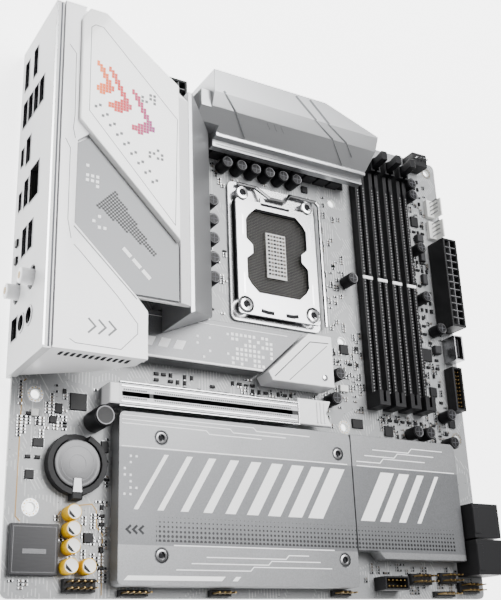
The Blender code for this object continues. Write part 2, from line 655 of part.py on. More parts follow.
def make_chipset():
    bottom, top = LOWER_Z
    left = LOWER_RIGHT + 2 * GAP
    step_x, step_y = CHIPSET_STEP
    bevel = HEATSINK_CORNER
    outline = [(left, CHIPSET_BOTTOM + step_y), (left + step_x, CHIPSET_BOTTOM + step_y),
               (left + step_x + step_y, CHIPSET_BOTTOM), (CHIPSET_RIGHT, CHIPSET_BOTTOM),
               (CHIPSET_RIGHT, LOWER_TOP - bevel), (CHIPSET_RIGHT - bevel, LOWER_TOP), (left, LOWER_TOP)]
    made = plate("chipset_heatsink", [outline], bottom, top)
    low, high = centred(CHIPSET_SIZE, CHIPSET_CENTRE)
    chip_top = GAP + CHIPSET_SIZE[2]
    cut(made, box("chip_room", (low[0] - CHIP_CLEAR, low[1] - CHIP_CLEAR, bottom - 1),
                  (high[0] + CHIP_CLEAR, high[1] + CHIP_CLEAR, chip_top + GAP)))
    finish(made, silver_aluminium())
    finish(box("chipset", (*low, GAP), (*high, chip_top)), material("chip_black", (0.03, 0.03, 0.035), 0.35))


# ---------------------------------------------------------------- power stage heatsinks
TOP_SINK_SHELF_BACK = 231.0   # the shelf over the power connector is cut away behind this line


def make_top_heatsink():
    made = plate("power_heatsink_top", [TOP_SINK_PROFILE], TOP_SINK_SHELF_LEFT, TOP_SINK_RIGHT, facing="X")
    limit = TOP_SINK_BACK + 1
    high = TOP_SINK_PROFILE[1][1] + 1
    before = TOP_SINK_SHELF_LEFT - 1
    front = min(y for y, z in TOP_SINK_PROFILE) - 1
    cut(made, box("sink_rail_end", (before, front, 0), (TOP_SINK_RAIL_LEFT, CORNER_LIMIT_Y, high)))
    cut(made, box("sink_shelf", (before, front, TOP_SHELF_Z), (TOP_SINK_LEFT, limit, high)))
    cut(made, box("sink_connector_room", (before, TOP_SINK_SHELF_BACK, 0), (TOP_SINK_LEFT, limit, high)))
    start, end_y = TOP_SINK_BACK_CUT
    beyond = TOP_SINK_RIGHT + 1
    slant = [(start, limit), (start, TOP_SINK_BACK), (TOP_SINK_RIGHT, end_y), (beyond, end_y),
             (beyond, limit)]
    cut(made, plate("sink_slant", [slant], 0, high))
    finish(made, silver_aluminium())


def make_left_heatsink():
    low_y, high_y = LEFT_SINK_Y
    made = plate("power_heatsink_left", [LEFT_SINK_PROFILE], low_y, high_y, facing="Y")
    left = LEFT_SINK_PROFILE[0][0] - 1
    right = LEFT_SINK_PROFILE[3][0] + 1
    cut(made, box("sink_foot", (left, low_y - 1, 0), (right, LEFT_SINK_FOOT_Y, LEFT_SINK_FOOT_Z)))
    wedge = [(left, low_y - 1), (left, low_y), (right, LEFT_SINK_FOOT_Y - GAP), (right, low_y - 1)]
    cut(made, plate("sink_wedge", [wedge], 0, COVER_TOP))
    finish(made, material("white_paint", (0.85, 0.86, 0.87), 0.4))


# ---------------------------------------------------------------- rear cover
def cover_outline():
    left, right = COVER_LEFT, COVER_RIGHT
    low, high = COVER_Y
    (notch_x, notch_y), (step_x, step_y) = COVER_NOTCH
    return [(left, low), (notch_x, low), (notch_x, notch_y), (step_x, step_y), (right, step_y),
            (right, 211.3), (20.4, high), (left, high)]


def make_io_cover():
    """The white cover: a stepped roof with a lowered bed for its trim, and three side walls."""
    left = COVER_LEFT
    low, high = COVER_Y
    bed_top = COVER_TOP - COVER_STEP
    (notch_x, notch_y), (step_x, step_y) = COVER_NOTCH
    made = plate("io_cover", [cover_outline()], bed_top - COVER_WALL, COVER_TOP)
    panel_left = PANEL_OUTLINE[0][0] - GAP
    strip_left = PANEL_OUTLINE[2][0] + 2 * GAP
    beyond = COVER_RIGHT + 2
    bed = [(step_x + 2.1, step_y - 2.1), (strip_left, step_y - 2.1), (strip_left, COVER_STRIP_TOP),
           (beyond, COVER_STRIP_TOP), (beyond, high + 2), (PANEL_OUTLINE[5][0] - GAP, high + 2),
           (panel_left, PANEL_OUTLINE[6][1]), (panel_left, PANEL_OUTLINE[1][1] + GAP),
           (GREY_UPPER[0] + 5.2, GREY_UPPER[1] + 4.5), GREY_UPPER, GREY_CORNER]
    cut(made, plate("cover_bed", [bed], bed_top, COVER_TOP + 1))
    slope = [(strip_left - 1, COVER_TOP + 0.3), (beyond, bed_top - 0.5), (beyond, COVER_TOP + 2),
             (strip_left - 1, COVER_TOP + 2)]
    cut(made, plate("cover_slope", [slope], step_y - 1, COVER_STRIP_TOP + 1, facing="Y"))
    inset = GAP
    hidden_top = bed_top - COVER_WALL / 2
    vent = [(left + inset, 1.0), (28.0, 17.5), (37.0, 27.0), (notch_x - inset, 31.0),
            (notch_x - inset, hidden_top), (left + inset, hidden_top)]
    join(made, plate("cover_vent_wall", [vent], low + inset, low + inset + COVER_WALL, facing="Y"))
    join(made, box("cover_notch_wall", (notch_x - 2 * inset - COVER_WALL, low + 2 * inset, 32.0),
                   (notch_x - 2 * inset, notch_y - inset, hidden_top - inset)))
    join(made, box("cover_top_wall", (left + inset, high - inset - COVER_WALL, 3.0),
                   (PANEL_OUTLINE[4][0] - inset, high - inset, hidden_top)))
    finish(made, white_plastic())


def make_cover_trim():
    bed_top = COVER_TOP - COVER_STEP
    floor = bed_top + GAP
    finish(plate("io_light_panel", [PANEL_OUTLINE], floor, PANEL_TOP),
           material("light_panel", (0.9, 0.9, 0.9), 0.3))
    (_, _), (step_x, step_y) = COVER_NOTCH
    right = PANEL_OUTLINE[2][0] + GAP
    grey = [(GREY_CORNER[0] + GAP, GREY_CORNER[1] + GAP), (step_x + GAP, step_y + 2 * GAP),
            (right, step_y + 2 * GAP), (right, 138.4), (15.0, 179.4), (GREY_UPPER[0] + GAP, 175.8)]
    finish(plate("io_grey_plate", [grey], floor, floor + GREY_THICK),
           material("grey_plate", (0.55, 0.56, 0.57), 0.45))


# ---------------------------------------------------------------- rear panel ports
# name: block (low y, low z, high y, high z), then its mouths in the same order
PORT_BLOCKS = {
    "display_ports": ((218.2, GAP, 235.6, 20.6), ((219.6, 1.2, 234.2, 6.9), (219.6, 13.2, 234.2, 18.9))),
    "usb_stack_upper": ((199.0, GAP, 213.8, 30.4), tuple((200.0, z, 212.8, z + 5.8)
                                                        for z in (1.2, 8.6, 16.0, 23.4))),
    "usb_c_stack": ((177.4, GAP, 191.8, 15.8), ((180.2, 1.4, 189.0, 5.6), (178.2, 8.6, 191.0, 14.4))),
    "lan_stack": ((155.0, GAP, 173.6, 29.0), ((158.6, 1.4, 167.4, 5.6), (157.4, 8.6, 170.2, 14.4),
                                              (156.4, 16.2, 172.2, 27.6))),
    "usb_stack_lower": ((132.8, 8.2, 148.4, 24.6), ((134.2, 9.4, 147.0, 15.2), (134.2, 17.2, 147.0, 23.0))),
    "audio_ports": ((97.8, GAP, 111.4, 28.6), ((99.8, 1.2, 109.2, 8.6),)),
}
AUDIO_JACKS = ((104.5, 13.8), (104.5, 23.6))
JACK_RADIUS = 3.4
JACK_RIM = 1.0
PORT_MOUTH_DEPTH = 9.0
BUTTON_SITES = {"firmware_button": (143.7, 3.0), "reset_button": (135.6, 3.0)}
BUTTON_SIZE = 3.2
BUTTON_PROUD = 0.9
ANTENNA_SITES = ((120.4, 24.5), (120.4, 5.8))
ANTENNA_SIZE = 6.4
ANTENNA_HOLE_RADIUS = 5.2
WIRELESS_BOX = ((1.4, 113.6, GAP), (6.4, 127.4, 31.0))


def shield_openings():
    """Outlines of every hole in the rear panel, each a gap larger than what stands in it."""
    outlines = []
    for _, mouths in PORT_BLOCKS.values():
        outlines += [rectangle((y0 - GAP, z0 - GAP), (y1 + GAP, z1 + GAP)) for y0, z0, y1, z1 in mouths]
    outlines += [circle(site, JACK_RADIUS + JACK_RIM, SMALL_SIDES) for site in AUDIO_JACKS]
    outlines += [circle(site, ANTENNA_HOLE_RADIUS, SMALL_SIDES) for site in ANTENNA_SITES]
    half = BUTTON_SIZE / 2 + GAP
    outlines += [rectangle((y - half, z - half), (y + half, z + half)) for y, z in BUTTON_SITES.values()]
    return outlines


def make_io_shield():
    """A thin panel pierced for the ports, with a rim folded back round its edge."""
    back = SHIELD_FACE + SHIELD_THICK
    rim_end = back + SHIELD_RIM_DEPTH
    wall = SHIELD_RIM_WALL
    made = plate("io_shield", [rectangle((SHIELD_Y[0], SHIELD_Z[0]), (SHIELD_Y[1], SHIELD_Z[1]))],
                 SHIELD_FACE, rim_end, facing="X")
    cut(made, box("shield_hollow", (back, SHIELD_Y[0] + wall, SHIELD_Z[0] + wall),
                  (rim_end + 1, SHIELD_Y[1] - wall, SHIELD_Z[1] - wall)))
    cut(made, box("shield_board_gap", (-GAP, SHIELD_Y[0] - 1, -BOARD_THICK - GAP),
                  (rim_end + 2, SHIELD_Y[1] + 1, GAP)))
    cut(made, plate("shield_openings", shield_openings(), SHIELD_FACE - 1, back + 1, facing="X"))
    finish(made, material("shield_white", (0.8, 0.81, 0.82), 0.4, 0.2))


PORT_LEAD_INSET = 3.0    # a port's leads stand this far in from its back and off its middle


def make_ports():
    front = SHIELD_FACE + SHIELD_THICK + GAP
    for name, (block, mouths) in PORT_BLOCKS.items():
        y0, z0, y1, z1 = block
        made = box(name, (front, y0, z0), (PORT_BACK, y1, z1))
        for number, (my0, mz0, my1, mz1) in enumerate(mouths):
            cut(made, box(f"{name}_mouth_{number}", (front - 1, my0, mz0),
                          (front + PORT_MOUTH_DEPTH, my1, mz1)))
        if name == "audio_ports":
            jacks = [circle(site, JACK_RADIUS, SMALL_SIDES) for site in AUDIO_JACKS]
            cut(made, plate("jack_bores", jacks, front - 1, front + PORT_MOUTH_DEPTH, facing="X"))
        if z0 <= GAP:
            middle = (y0 + y1) / 2
            x = PORT_BACK - PORT_LEAD_INSET
            add_leads(made, [(x, middle - PORT_LEAD_INSET), (x, middle + PORT_LEAD_INSET)])
        finish(made, material("port_metal", (0.35, 0.36, 0.38), 0.35, 0.8))


BUTTON_BACK = 4.0


def make_buttons():
    half = BUTTON_SIZE / 2
    for name, (y, z) in BUTTON_SITES.items():
        face = SHIELD_FACE - BUTTON_PROUD
        made = box(name, (face, y - half, z - half), (BUTTON_BACK, y + half, z + half))
        finish(made, material("button_black", (0.03, 0.03, 0.03), 0.4))


def make_wireless_module():
    made = box("wireless_module", *WIRELESS_BOX)
    half = ANTENNA_SIZE / 2
    for number, (y, z) in enumerate(ANTENNA_SITES):
        join(made, box(f"antenna_socket_{number}", (SHIELD_FACE - ANTENNA_PROUD, y - half, z - half),
                       (WIRELESS_BOX[0][0] + 1, y + half, z + half)))
    finish(made, white_plastic())


# ---------------------------------------------------------------- board connectors
def shrouded(name, corners, colour, leads, floor=2.4, wall=SOCKET_WALL):
    """A box socket, open at the top, with solder leads at the given shares of its long side."""
    low, high = corners
    made = box(name, (low[0], low[1], GAP), high)
    cut(made, box(name + "_mouth", (low[0] + wall, low[1] + wall, floor),
                  (high[0] - wall, high[1] - wall, high[2] + 1)))
    middle = ((low[0] + high[0]) / 2, (low[1] + high[1]) / 2)
    along_y = high[1] - low[1] > high[0] - low[0]
    sites = []
    for share in leads:
        if along_y:
            sites.append((middle[0], low[1] + share * (high[1] - low[1])))
        else:
            sites.append((low[0] + share * (high[0] - low[0]), middle[1]))
    add_leads(made, sites)
    return finish(made, colour)


def make_board_connectors():
    shrouded("power_connector_24pin", ATX_BOX, black_plastic(), (0.1, 0.9))
    shrouded("processor_power_connector", EPS_BOX, black_plastic(), (0.2, 0.8))
    shrouded("front_usb_header", USB3_BOX, black_plastic(), (0.15, 0.85))
    shrouded("front_usb_c_header", USBC_BOX, material("usb_c_shell", (0.6, 0.6, 0.62), 0.3, 0.9), (0.2, 0.8),
             wall=0.8)
    shrouded("panel_header", PANEL_HEADER_BOX, black_plastic(), (0.2, 0.8), wall=0.9)
    low, high = FAN_BOX
    fan = finish(box("fan_header", (low[0], low[1], GAP), high), black_plastic())
    add_leads(fan, [(low[0] + 2.5, 239.0), (high[0] - 2.5, 239.0)])
    low, high = AUDIO_HEADER_BOX
    audio = finish(box("front_audio_header", (low[0], low[1], GAP), (high[0], high[1], 2.8)), black_plastic())
    add_leads(audio, [(low[0] + 2, 4.8), (high[0] - 2, 4.8)])


def make_drive_connectors():
    left, right = SATA_X
    for number, (low, high) in enumerate(SATA_Y, 1):
        name = f"drive_connector_{number}"
        made = box(name, (left, low, GAP), (right, high, SATA_TOP))
        for level, z in enumerate((1.4, 8.0)):
            cut(made, box(f"{name}_mouth_{level}", (right - SATA_MOUTH_DEPTH, low + 1.6, z),
                          (right + 1, high - 1.6, z + 4.4)))
        middle = (low + high) / 2
        add_leads(made, [(left + 3, middle - 5), (left + 3, middle + 5), (right - 9, middle)])
        finish(made, black_plastic())


# ---------------------------------------------------------------- battery, audio, filter capacitor
HOLDER_LEAD_Y = 6.0      # the holder's two leads, either side of its middle
HOLDER_FLOOR_SEAT = -0.6  # where they run into its floor


def make_battery():
    cylinder_top = BATTERY_Z[1]
    coin = cylinder("coin_battery", BATTERY_CENTRE, BATTERY_RADIUS, BATTERY_Z[0], cylinder_top)
    finish(coin, material("battery_steel", (0.42, 0.42, 0.43), 0.35, 0.9), ROUND_ANGLE)
    holder = cylinder("battery_holder", BATTERY_CENTRE, HOLDER_RADIUS, GAP, HOLDER_TOP)
    floor = BATTERY_Z[0] - GAP
    cut(holder, cylinder("coin_room", BATTERY_CENTRE, BATTERY_RADIUS + GAP, floor, HOLDER_TOP + 1))
    x, y = BATTERY_CENTRE
    reach = HOLDER_RADIUS + 2
    half = math.radians(HOLDER_OPENING / 2)
    mouth = [(x, y), (x - reach * math.sin(half), y + reach), (x + reach * math.sin(half), y + reach)]
    cut(holder, plate("holder_mouth", [mouth], floor, HOLDER_TOP + 1))
    add_leads(holder, [(x, y - HOLDER_LEAD_Y), (x, y + HOLDER_LEAD_Y)], seat=HOLDER_FLOOR_SEAT)
    finish(holder, black_plastic(), ROUND_ANGLE)


def make_small_blocks():
    low, high = CODEC_BOX
    finish(box("audio_codec_shield", (low[0], low[1], GAP), high),
           material("codec_grey", (0.3, 0.31, 0.33), 0.35, 0.6))
    x, y, radius, height = BIG_CAP
    finish(cylinder("filter_capacitor", (x, y), radius, GAP, height),
           material("capacitor_black", (0.03, 0.03, 0.035), 0.4), ROUND_ANGLE)


# ---------------------------------------------------------------- the board itself, drilled last
def mounting_holes():
    lower = [(HOLE_COLUMN_LEFT, row) for row in (HOLE_ROW_MIDDLE, HOLE_ROW_LOWER)]
    middle = [(HOLE_COLUMN_MIDDLE, row) for row in (HOLE_ROW_MIDDLE, HOLE_ROW_LOWER, HOLE_ROW_TOP)]
    right = [(HOLE_COLUMN_RIGHT, row) for row in (HOLE_ROW_MIDDLE, HOLE_ROW_TOP)]
    return lower + middle + right + [(HOLE_COLUMN_TOP_LEFT, HOLE_ROW_TOP)]


def cooler_holes():
    half = COOLER_PITCH / 2
    return [(SOCKET_X + side * half, SOCKET_Y + end * half) for side in (-1, 1) for end in (-1, 1)]


def make_board():
    outline = rectangle((0, 0), (BOARD_WIDTH, BOARD_HEIGHT), BOARD_CORNER)
    made = plate("circuit_board", [outline], -BOARD_THICK, 0)
    pads = [circle(site, PAD_RADIUS, SMALL_SIDES) for site in mounting_holes()]
    join(made, plate("mounting_pads", pads, -BOARD_THICK - PAD_HEIGHT, -BOARD_THICK / 2))
    holes = [circle(site, HOLE_RADIUS, SMALL_SIDES) for site in mounting_holes()]
    holes += [circle(site, COOLER_HOLE_RADIUS, SMALL_SIDES) for site in cooler_holes()]
    holes += [circle(site, ILM_SCREW_SHANK_RADIUS + GAP, 8) for site in ilm_screw_sites()]
    holes += [circle(site, LEAD_HOLE_RADIUS, 6) for site in LEAD_SITES]
    cut(made, plate("board_holes", holes, -BOARD_THICK - 1, 1))
    finish(made, material("board_silver", (0.74, 0.75, 0.75), 0.4, 0.1))


make_socket_backplate()
make_socket_body()
make_ilm_frame()
make_load_plate()
make_lever()
make_ilm_screws()
make_memory_slots()
make_memory_latches()
make_expansion_slot()
make_expansion_latch()
make_upper_storage()
make_lower_storage()
make_chipset()
make_top_heatsink()
make_left_heatsink()
make_io_cover()
make_cover_trim()
make_io_shield()
make_ports()
make_buttons()
make_wireless_module()
make_board_connectors()
make_drive_connectors()
make_battery()
make_small_blocks()
make_board()
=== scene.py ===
"""A white and silver micro-ATX motherboard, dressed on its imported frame.

Sizes are millimetres on the board: X to the right and Y up from the board's lower left corner,
Z out of its component side.  Each section makes one piece or one group of like pieces.
"""
import json

import bmesh
import bpy
import numpy as np
from mathutils import Matrix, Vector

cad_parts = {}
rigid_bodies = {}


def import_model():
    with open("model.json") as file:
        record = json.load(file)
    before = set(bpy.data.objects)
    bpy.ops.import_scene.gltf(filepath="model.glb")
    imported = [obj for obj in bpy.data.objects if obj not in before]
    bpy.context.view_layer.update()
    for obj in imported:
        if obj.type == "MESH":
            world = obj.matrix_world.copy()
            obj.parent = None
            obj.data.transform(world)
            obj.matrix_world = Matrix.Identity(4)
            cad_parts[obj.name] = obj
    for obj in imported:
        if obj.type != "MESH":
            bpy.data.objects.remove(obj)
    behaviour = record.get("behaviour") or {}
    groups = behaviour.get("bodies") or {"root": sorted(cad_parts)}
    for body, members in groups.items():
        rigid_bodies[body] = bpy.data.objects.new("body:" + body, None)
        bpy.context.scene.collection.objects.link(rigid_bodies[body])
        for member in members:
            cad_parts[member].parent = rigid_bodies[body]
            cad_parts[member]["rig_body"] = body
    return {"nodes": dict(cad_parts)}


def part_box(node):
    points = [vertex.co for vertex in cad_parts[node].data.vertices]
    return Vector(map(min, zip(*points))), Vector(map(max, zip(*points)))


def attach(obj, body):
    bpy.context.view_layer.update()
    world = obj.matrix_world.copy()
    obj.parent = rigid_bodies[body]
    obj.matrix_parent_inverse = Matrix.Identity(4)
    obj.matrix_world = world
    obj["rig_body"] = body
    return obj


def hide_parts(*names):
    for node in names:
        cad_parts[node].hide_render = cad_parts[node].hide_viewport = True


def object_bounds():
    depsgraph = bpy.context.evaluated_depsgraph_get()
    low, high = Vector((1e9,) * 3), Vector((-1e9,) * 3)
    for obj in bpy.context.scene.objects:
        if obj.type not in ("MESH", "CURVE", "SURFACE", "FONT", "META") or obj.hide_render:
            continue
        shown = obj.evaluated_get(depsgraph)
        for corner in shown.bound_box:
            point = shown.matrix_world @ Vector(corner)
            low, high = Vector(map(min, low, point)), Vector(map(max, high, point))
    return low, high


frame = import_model()
cad_box = [list(corner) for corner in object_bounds()]

# ---------------------------------------------------------------- circuit board
# A square of silver-white glass laminate, 1.6 mm thick, with etched traces under its solder mask,
# plated vias and drilled holes.  It is the CAD node itself with a printed finish.
MM = 0.001
BOARD_LOW, BOARD_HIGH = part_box("circuit_board")
BOARD_CORNER = np.array((BOARD_LOW.x, BOARD_LOW.y, BOARD_HIGH.z))
BOARD_SIDE = (BOARD_HIGH.x - BOARD_LOW.x) / MM


def board_box(node):
    """A CAD node's lowest and highest corners in board millimetres: its metres, less the board's corner."""
    return [(np.array(corner) - BOARD_CORNER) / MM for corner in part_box(node)]


class Value:
    """A number, vector or colour on its way through a material.  Its operators add Math nodes."""

    def __init__(self, tree, socket):
        self.tree = tree
        self.socket = socket

    def node(self, kind, settings=(), outlet=0, **inlets):
        """Any node: its settings first, then values or links for its inlets, named or as in0, in1, ..."""
        made = self.tree.nodes.new(kind)
        for name, setting in dict(settings).items():
            if name == "stops":
                ramp = made.color_ramp
                ramp.elements[0].position, ramp.elements[0].color = setting[0][0], (*setting[0][1], 1)
                ramp.elements[1].position, ramp.elements[1].color = setting[-1][0], (*setting[-1][1], 1)
                for position, colour in setting[1:-1]:
                    ramp.elements.new(position).color = (*colour, 1)
            else:
                setattr(made, name, setting)
        for name, value in inlets.items():
            inlet = made.inputs[int(name[2:])] if name.startswith("in") else made.inputs[name]
            if isinstance(value, Value):
                self.tree.links.new(value.socket, inlet)
            else:
                inlet.default_value = value
        return Value(self.tree, made.outputs[outlet])

    def maths(self, operation, first, second=0.0):
        return self.node("ShaderNodeMath", {"operation": operation}, in0=first, in1=second)

    def __add__(self, other):
        return self.maths("ADD", self, other)

    def __sub__(self, other):
        return self.maths("SUBTRACT", self, other)

    def __rsub__(self, other):
        return self.maths("SUBTRACT", other, self)

    def __mul__(self, other):
        return self.maths("MULTIPLY", self, other)

    def __mod__(self, other):
        return self.maths("FLOORED_MODULO", self, other)

    def __lt__(self, other):
        return self.maths("LESS_THAN", self, other)

    def __gt__(self, other):
        return self.maths("GREATER_THAN", self, other)

    def __abs__(self):
        return self.maths("ABSOLUTE", self)

    __radd__ = __add__
    __rmul__ = __mul__

    def between(self, low, high):
        """1 where low < value < high, otherwise 0."""
        return (self > low) * (self < high)

    def tint(self, dark, bright):
        """A colour that goes from dark at 0 to bright at 1; either may be a Value."""
        ends = [end if isinstance(end, Value) else (*end, 1) for end in (dark, bright)]
        return self.node("ShaderNodeMix", {"data_type": "RGBA"}, 2, in0=self, in6=ends[0], in7=ends[1])


class Finish:
    """A Principled material, with x, y and z in board millimetres to draw on it with."""

    def __init__(self, name, colour, roughness, metallic=0.0, coat=0.0):
        self.material = bpy.data.materials.new(name)
        self.material.use_nodes = True
        self.material.diffuse_color = (*colour, 1)
        tree = self.material.node_tree
        self.shader = tree.nodes["Principled BSDF"]
        place = tree.nodes.new("ShaderNodeTexCoord")
        self.here = Value(tree, place.outputs["Object"])
        apart = tree.nodes.new("ShaderNodeSeparateXYZ")
        tree.links.new(place.outputs["Object"], apart.inputs[0])
        axes = [Value(tree, outlet) for outlet in apart.outputs]
        self.x, self.y, self.z = [(axis - float(corner)) * (1 / MM) for axis,
                                  corner in zip(axes, BOARD_CORNER)]
        self.set("Base Color", (*colour, 1))
        self.set("Roughness", roughness)
        self.set("Metallic", metallic)
        self.set("Coat Weight", coat)
        if max(colour) < 0.1 and metallic == 0:
            self.set("Specular IOR Level", 0.16)

    def set(self, inlet, value):
        if isinstance(value, Value):
            value.tree.links.new(value.socket, self.shader.inputs[inlet])
        else:
            self.shader.inputs[inlet].default_value = value

    def noise(self, size, detail=2.0, stretch=(1, 1, 1)):
        """Smooth noise, 0 to 1, with features of about size millimetres, longer along a stretched axis."""
        place = self.here
        if stretch != (1, 1, 1):
            place = place.node("ShaderNodeMapping", Vector=place, Scale=tuple(1 / s for s in stretch))
        return self.here.node("ShaderNodeTexNoise", Vector=place, Scale=1 / (size * MM), Detail=detail)

    def relief(self, height, depth):
        """A raised pattern of so many millimetres, as a bump."""
        self.set("Normal", self.here.node("ShaderNodeBump", Strength=1.0, Distance=depth * MM, Height=height))


def grained(name, colour, roughness, metallic=0.0, size=0.5, contrast=0.08, depth=0.01, coat=0.0,
            stretch=(1, 1, 1)):
    """A finish with a fine grain: noise drives its colour, its roughness and a shallow bump."""
    made = Finish(name, colour, roughness, metallic, coat)
    grain = made.noise(size, 3.0, stretch)
    drift = made.noise(40.0, 1.0)
    level = grain * 0.75 + drift * 0.25
    dark = [c * (1 - contrast) for c in colour]
    bright = [min(c * (1 + contrast), 1.0) for c in colour]
    made.set("Base Color", level.tint(dark, bright))
    made.set("Roughness", level * (roughness * 0.3) + roughness * 0.85)
    made.relief(grain, depth)
    return made


def repaint(nodes, finish):
    """Give CAD nodes a finish in place of their plain one."""
    for node in nodes:
        slots = frame["nodes"][node].data.materials
        slots.clear()
        slots.append(finish.material)


mask = Finish("board_mask", (0.25, 0.255, 0.26), 0.4, 0.1, 0.15)
field = mask.noise(16.0, 1.0)
weave = mask.noise(0.9, 2.0)
cells = mask.here.node("ShaderNodeTexVoronoi", {"feature": "F1"}, Vector=mask.here, Scale=1 / (2.6 * MM))
via = (cells < 0.1) * (mask.noise(9.0, 0.0) > 0.52)
slanted = ((mask.x + mask.y * 0.62) % 1.7) < 0.5
upright = (mask.x % 1.5) < 0.45
traces = slanted * field.between(0.5, 0.56) + upright * field.between(0.38, 0.44)
copper = (field * 0.5 + weave * 0.5).tint((0.2, 0.205, 0.21), (0.3, 0.305, 0.31))
copper = (traces * 0.6).tint(copper, (0.5, 0.505, 0.51))
copper = via.tint(copper, (0.08, 0.08, 0.085))
edge_side = mask.z.between(-1.5, -0.12)
mask.set("Base Color", edge_side.tint(copper, (0.5, 0.51, 0.49)))
mask.relief(traces * 0.6 + weave * 0.1, 0.03)
repaint(["circuit_board"], mask)


# Each mounting hole has a plated ring with a circle of vias, so that its screw grounds the board.
def lofted(rings):
    """Rings of equal length, each joined to the next by quads, with one face over each end."""
    rings = np.asarray(rings, float)
    count, sides = rings.shape[:2]
    row = np.arange(count - 1)[:, None] * sides
    here = (row + np.arange(sides)).ravel()
    beside = (row + np.roll(np.arange(sides), -1)).ravel()
    faces = np.stack((here, beside, beside + sides, here + sides), 1).tolist()
    faces += [list(range(sides))[::-1], list(range((count - 1) * sides, count * sides))]
    return rings.reshape(-1, 3), faces


def turned(profile, centre=(0, 0), sides=24):
    """A solid of revolution: each (radius, height) of the profile becomes a circle about an upright axis."""
    profile = np.asarray(profile, float)
    angle = np.arange(sides) * (2 * np.pi / sides)
    circle = np.stack((np.cos(angle), np.sin(angle)), 1)
    plan = profile[:, 0, None, None] * circle + np.asarray(centre, float)
    height = np.broadcast_to(profile[:, 1, None, None], (len(profile), sides, 1))
    return lofted(np.concatenate((plan, height), 2))


def washer(centre, inner, outer, low, high, sides=32):
    """A flat ring: a square profile carried round a circle and closed on itself."""
    profile = np.array(((inner, low), (outer, low), (outer, high), (inner, high)))
    angle = np.arange(sides) * (2 * np.pi / sides)
    radius, height = profile[:, 0], profile[:, 1]
    grid = np.stack((centre[0] + np.outer(np.cos(angle), radius), centre[1] + np.outer(np.sin(angle), radius),
                     np.broadcast_to(height, (sides, 4))), 2)
    here = (np.arange(sides)[:, None] * 4 + np.arange(4)).ravel()
    beside = (np.arange(sides)[:, None] * 4 + np.roll(np.arange(4), -1)).ravel()
    onward = (here + 4) % (sides * 4)
    faces = np.stack((here, onward, (beside + 4) % (sides * 4), beside), 1).tolist()
    return grid.reshape(-1, 3), faces


def repeated(shape, places):
    """One shape copied to every place: its points are added to each place in one array."""
    vertices, faces = shape
    places = np.asarray(places, float).reshape(-1, 3)
    moved = (places[:, None] + vertices).reshape(-1, 3)
    return moved, [[v + k * len(vertices) for v in face] for k in range(len(places)) for face in faces]


def piece(name, parts, body="board_assembly", stands_for=(), smooth=35.0):
    """Finishes and their shapes joined into one object, put in the frame and riding on a body."""
    vertices, faces, chosen, finishes = [], [], [], []
    offset = 0
    for finish, *shapes in parts:
        if finish.material not in finishes:
            finishes.append(finish.material)
        for points, polygons in shapes:
            vertices.append(np.asarray(points, float) * MM + BOARD_CORNER)
            faces += [[v + offset for v in polygon] for polygon in polygons]
            chosen += [finishes.index(finish.material)] * len(polygons)
            offset += len(points)
    mesh = bpy.data.meshes.new(name)
    mesh.from_pydata(np.concatenate(vertices).tolist(), [], faces)
    mesh.polygons.foreach_set("material_index", chosen)
    for material in finishes:
        mesh.materials.append(material)
    mesh.shade_smooth()
    mesh.set_sharp_from_angle(angle=np.radians(smooth))
    made = bpy.data.objects.new(name, mesh)
    bpy.context.scene.collection.objects.link(made)
    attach(made, body)
    if stands_for:
        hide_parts(*stands_for)
    return made


tin = grained("tin_plate", (0.36, 0.365, 0.37), 0.28, 1.0, 0.7, 0.06)
gold = grained("gold_plate", (0.34, 0.23, 0.09), 0.3, 1.0, 0.7, 0.08)
MOUNTING_HOLES = ((10.16, 80.01), (10.16, 34.29), (165.1, 80.01), (165.1, 34.29), (237.49, 80.01),
                  (237.49, 237.49), (165.1, 237.49), (33.02, 237.49))
rings = []
dots = []
for hole in MOUNTING_HOLES:
    rings.append(washer(hole, 2.05, 3.5, 0.0, 0.05))
    turn = np.arange(12) * (np.pi / 6)
    dots += [(hole[0] + 2.85 * np.cos(a), hole[1] + 2.85 * np.sin(a), 0.04) for a in turn]
via_cap = turned(((0.3, 0), (0.3, 0.06), (0.1, 0.08)), sides=6)
COOLER_HOLES = [(128.3 + side * 39, 163.1 + end * 39) for side in (-1, 1) for end in (-1, 1)]
rings += [washer(hole, 2.15, 2.7, 0.0, 0.04) for hole in COOLER_HOLES]
piece("mounting_rings", [(tin, *rings), (gold, repeated(via_cap, dots))])

# ---------------------------------------------------------------- small solder-on parts
# Hundreds of ceramic capacitors and resistors with tinned ends, placed by machine wherever the
# larger pieces leave room: mostly in rows, each part a block between two end caps.
ceramic = grained("ceramic_tan", (0.1, 0.08, 0.065), 0.5, 0.0, 0.4, 0.15)
resistor_black = grained("resistor_black", (0.01, 0.01, 0.011), 0.45, 0.0, 0.4, 0.2)


def inset(outline, distance):
    """An outline drawn in: each corner slides along the mitre of its two edges by the same distance."""
    outline = np.asarray(outline, float)
    along = np.roll(outline, -1, 0) - outline
    inward = np.stack((-along[:, 1], along[:, 0]), 1) / np.linalg.norm(along, axis=1)[:, None]
    before = np.roll(inward, 1, 0)
    mitre = (inward + before) / (1 + (inward * before).sum(1))[:, None]
    return outline + distance * mitre


def slab(outline, low, high, edge=0.0, foot=0.0):
    """An outline carried up from low to high, drawn in by edge round its top and by foot round its base."""
    levels = [(foot, low), (0, low + foot), (0, high - edge), (edge, high)]
    levels = [level for k, level in enumerate(levels) if k == 0 or level != levels[k - 1]]
    return lofted([np.column_stack((inset(outline, d), np.full(len(outline), z))) for d, z in levels])


def block(low, high, edge=0.0):
    """An upright box with its top edges chamfered."""
    outline = ((low[0], low[1]), (high[0], low[1]), (high[0], high[1]), (low[0], high[1]))
    return slab(outline, low[2], high[2], edge)


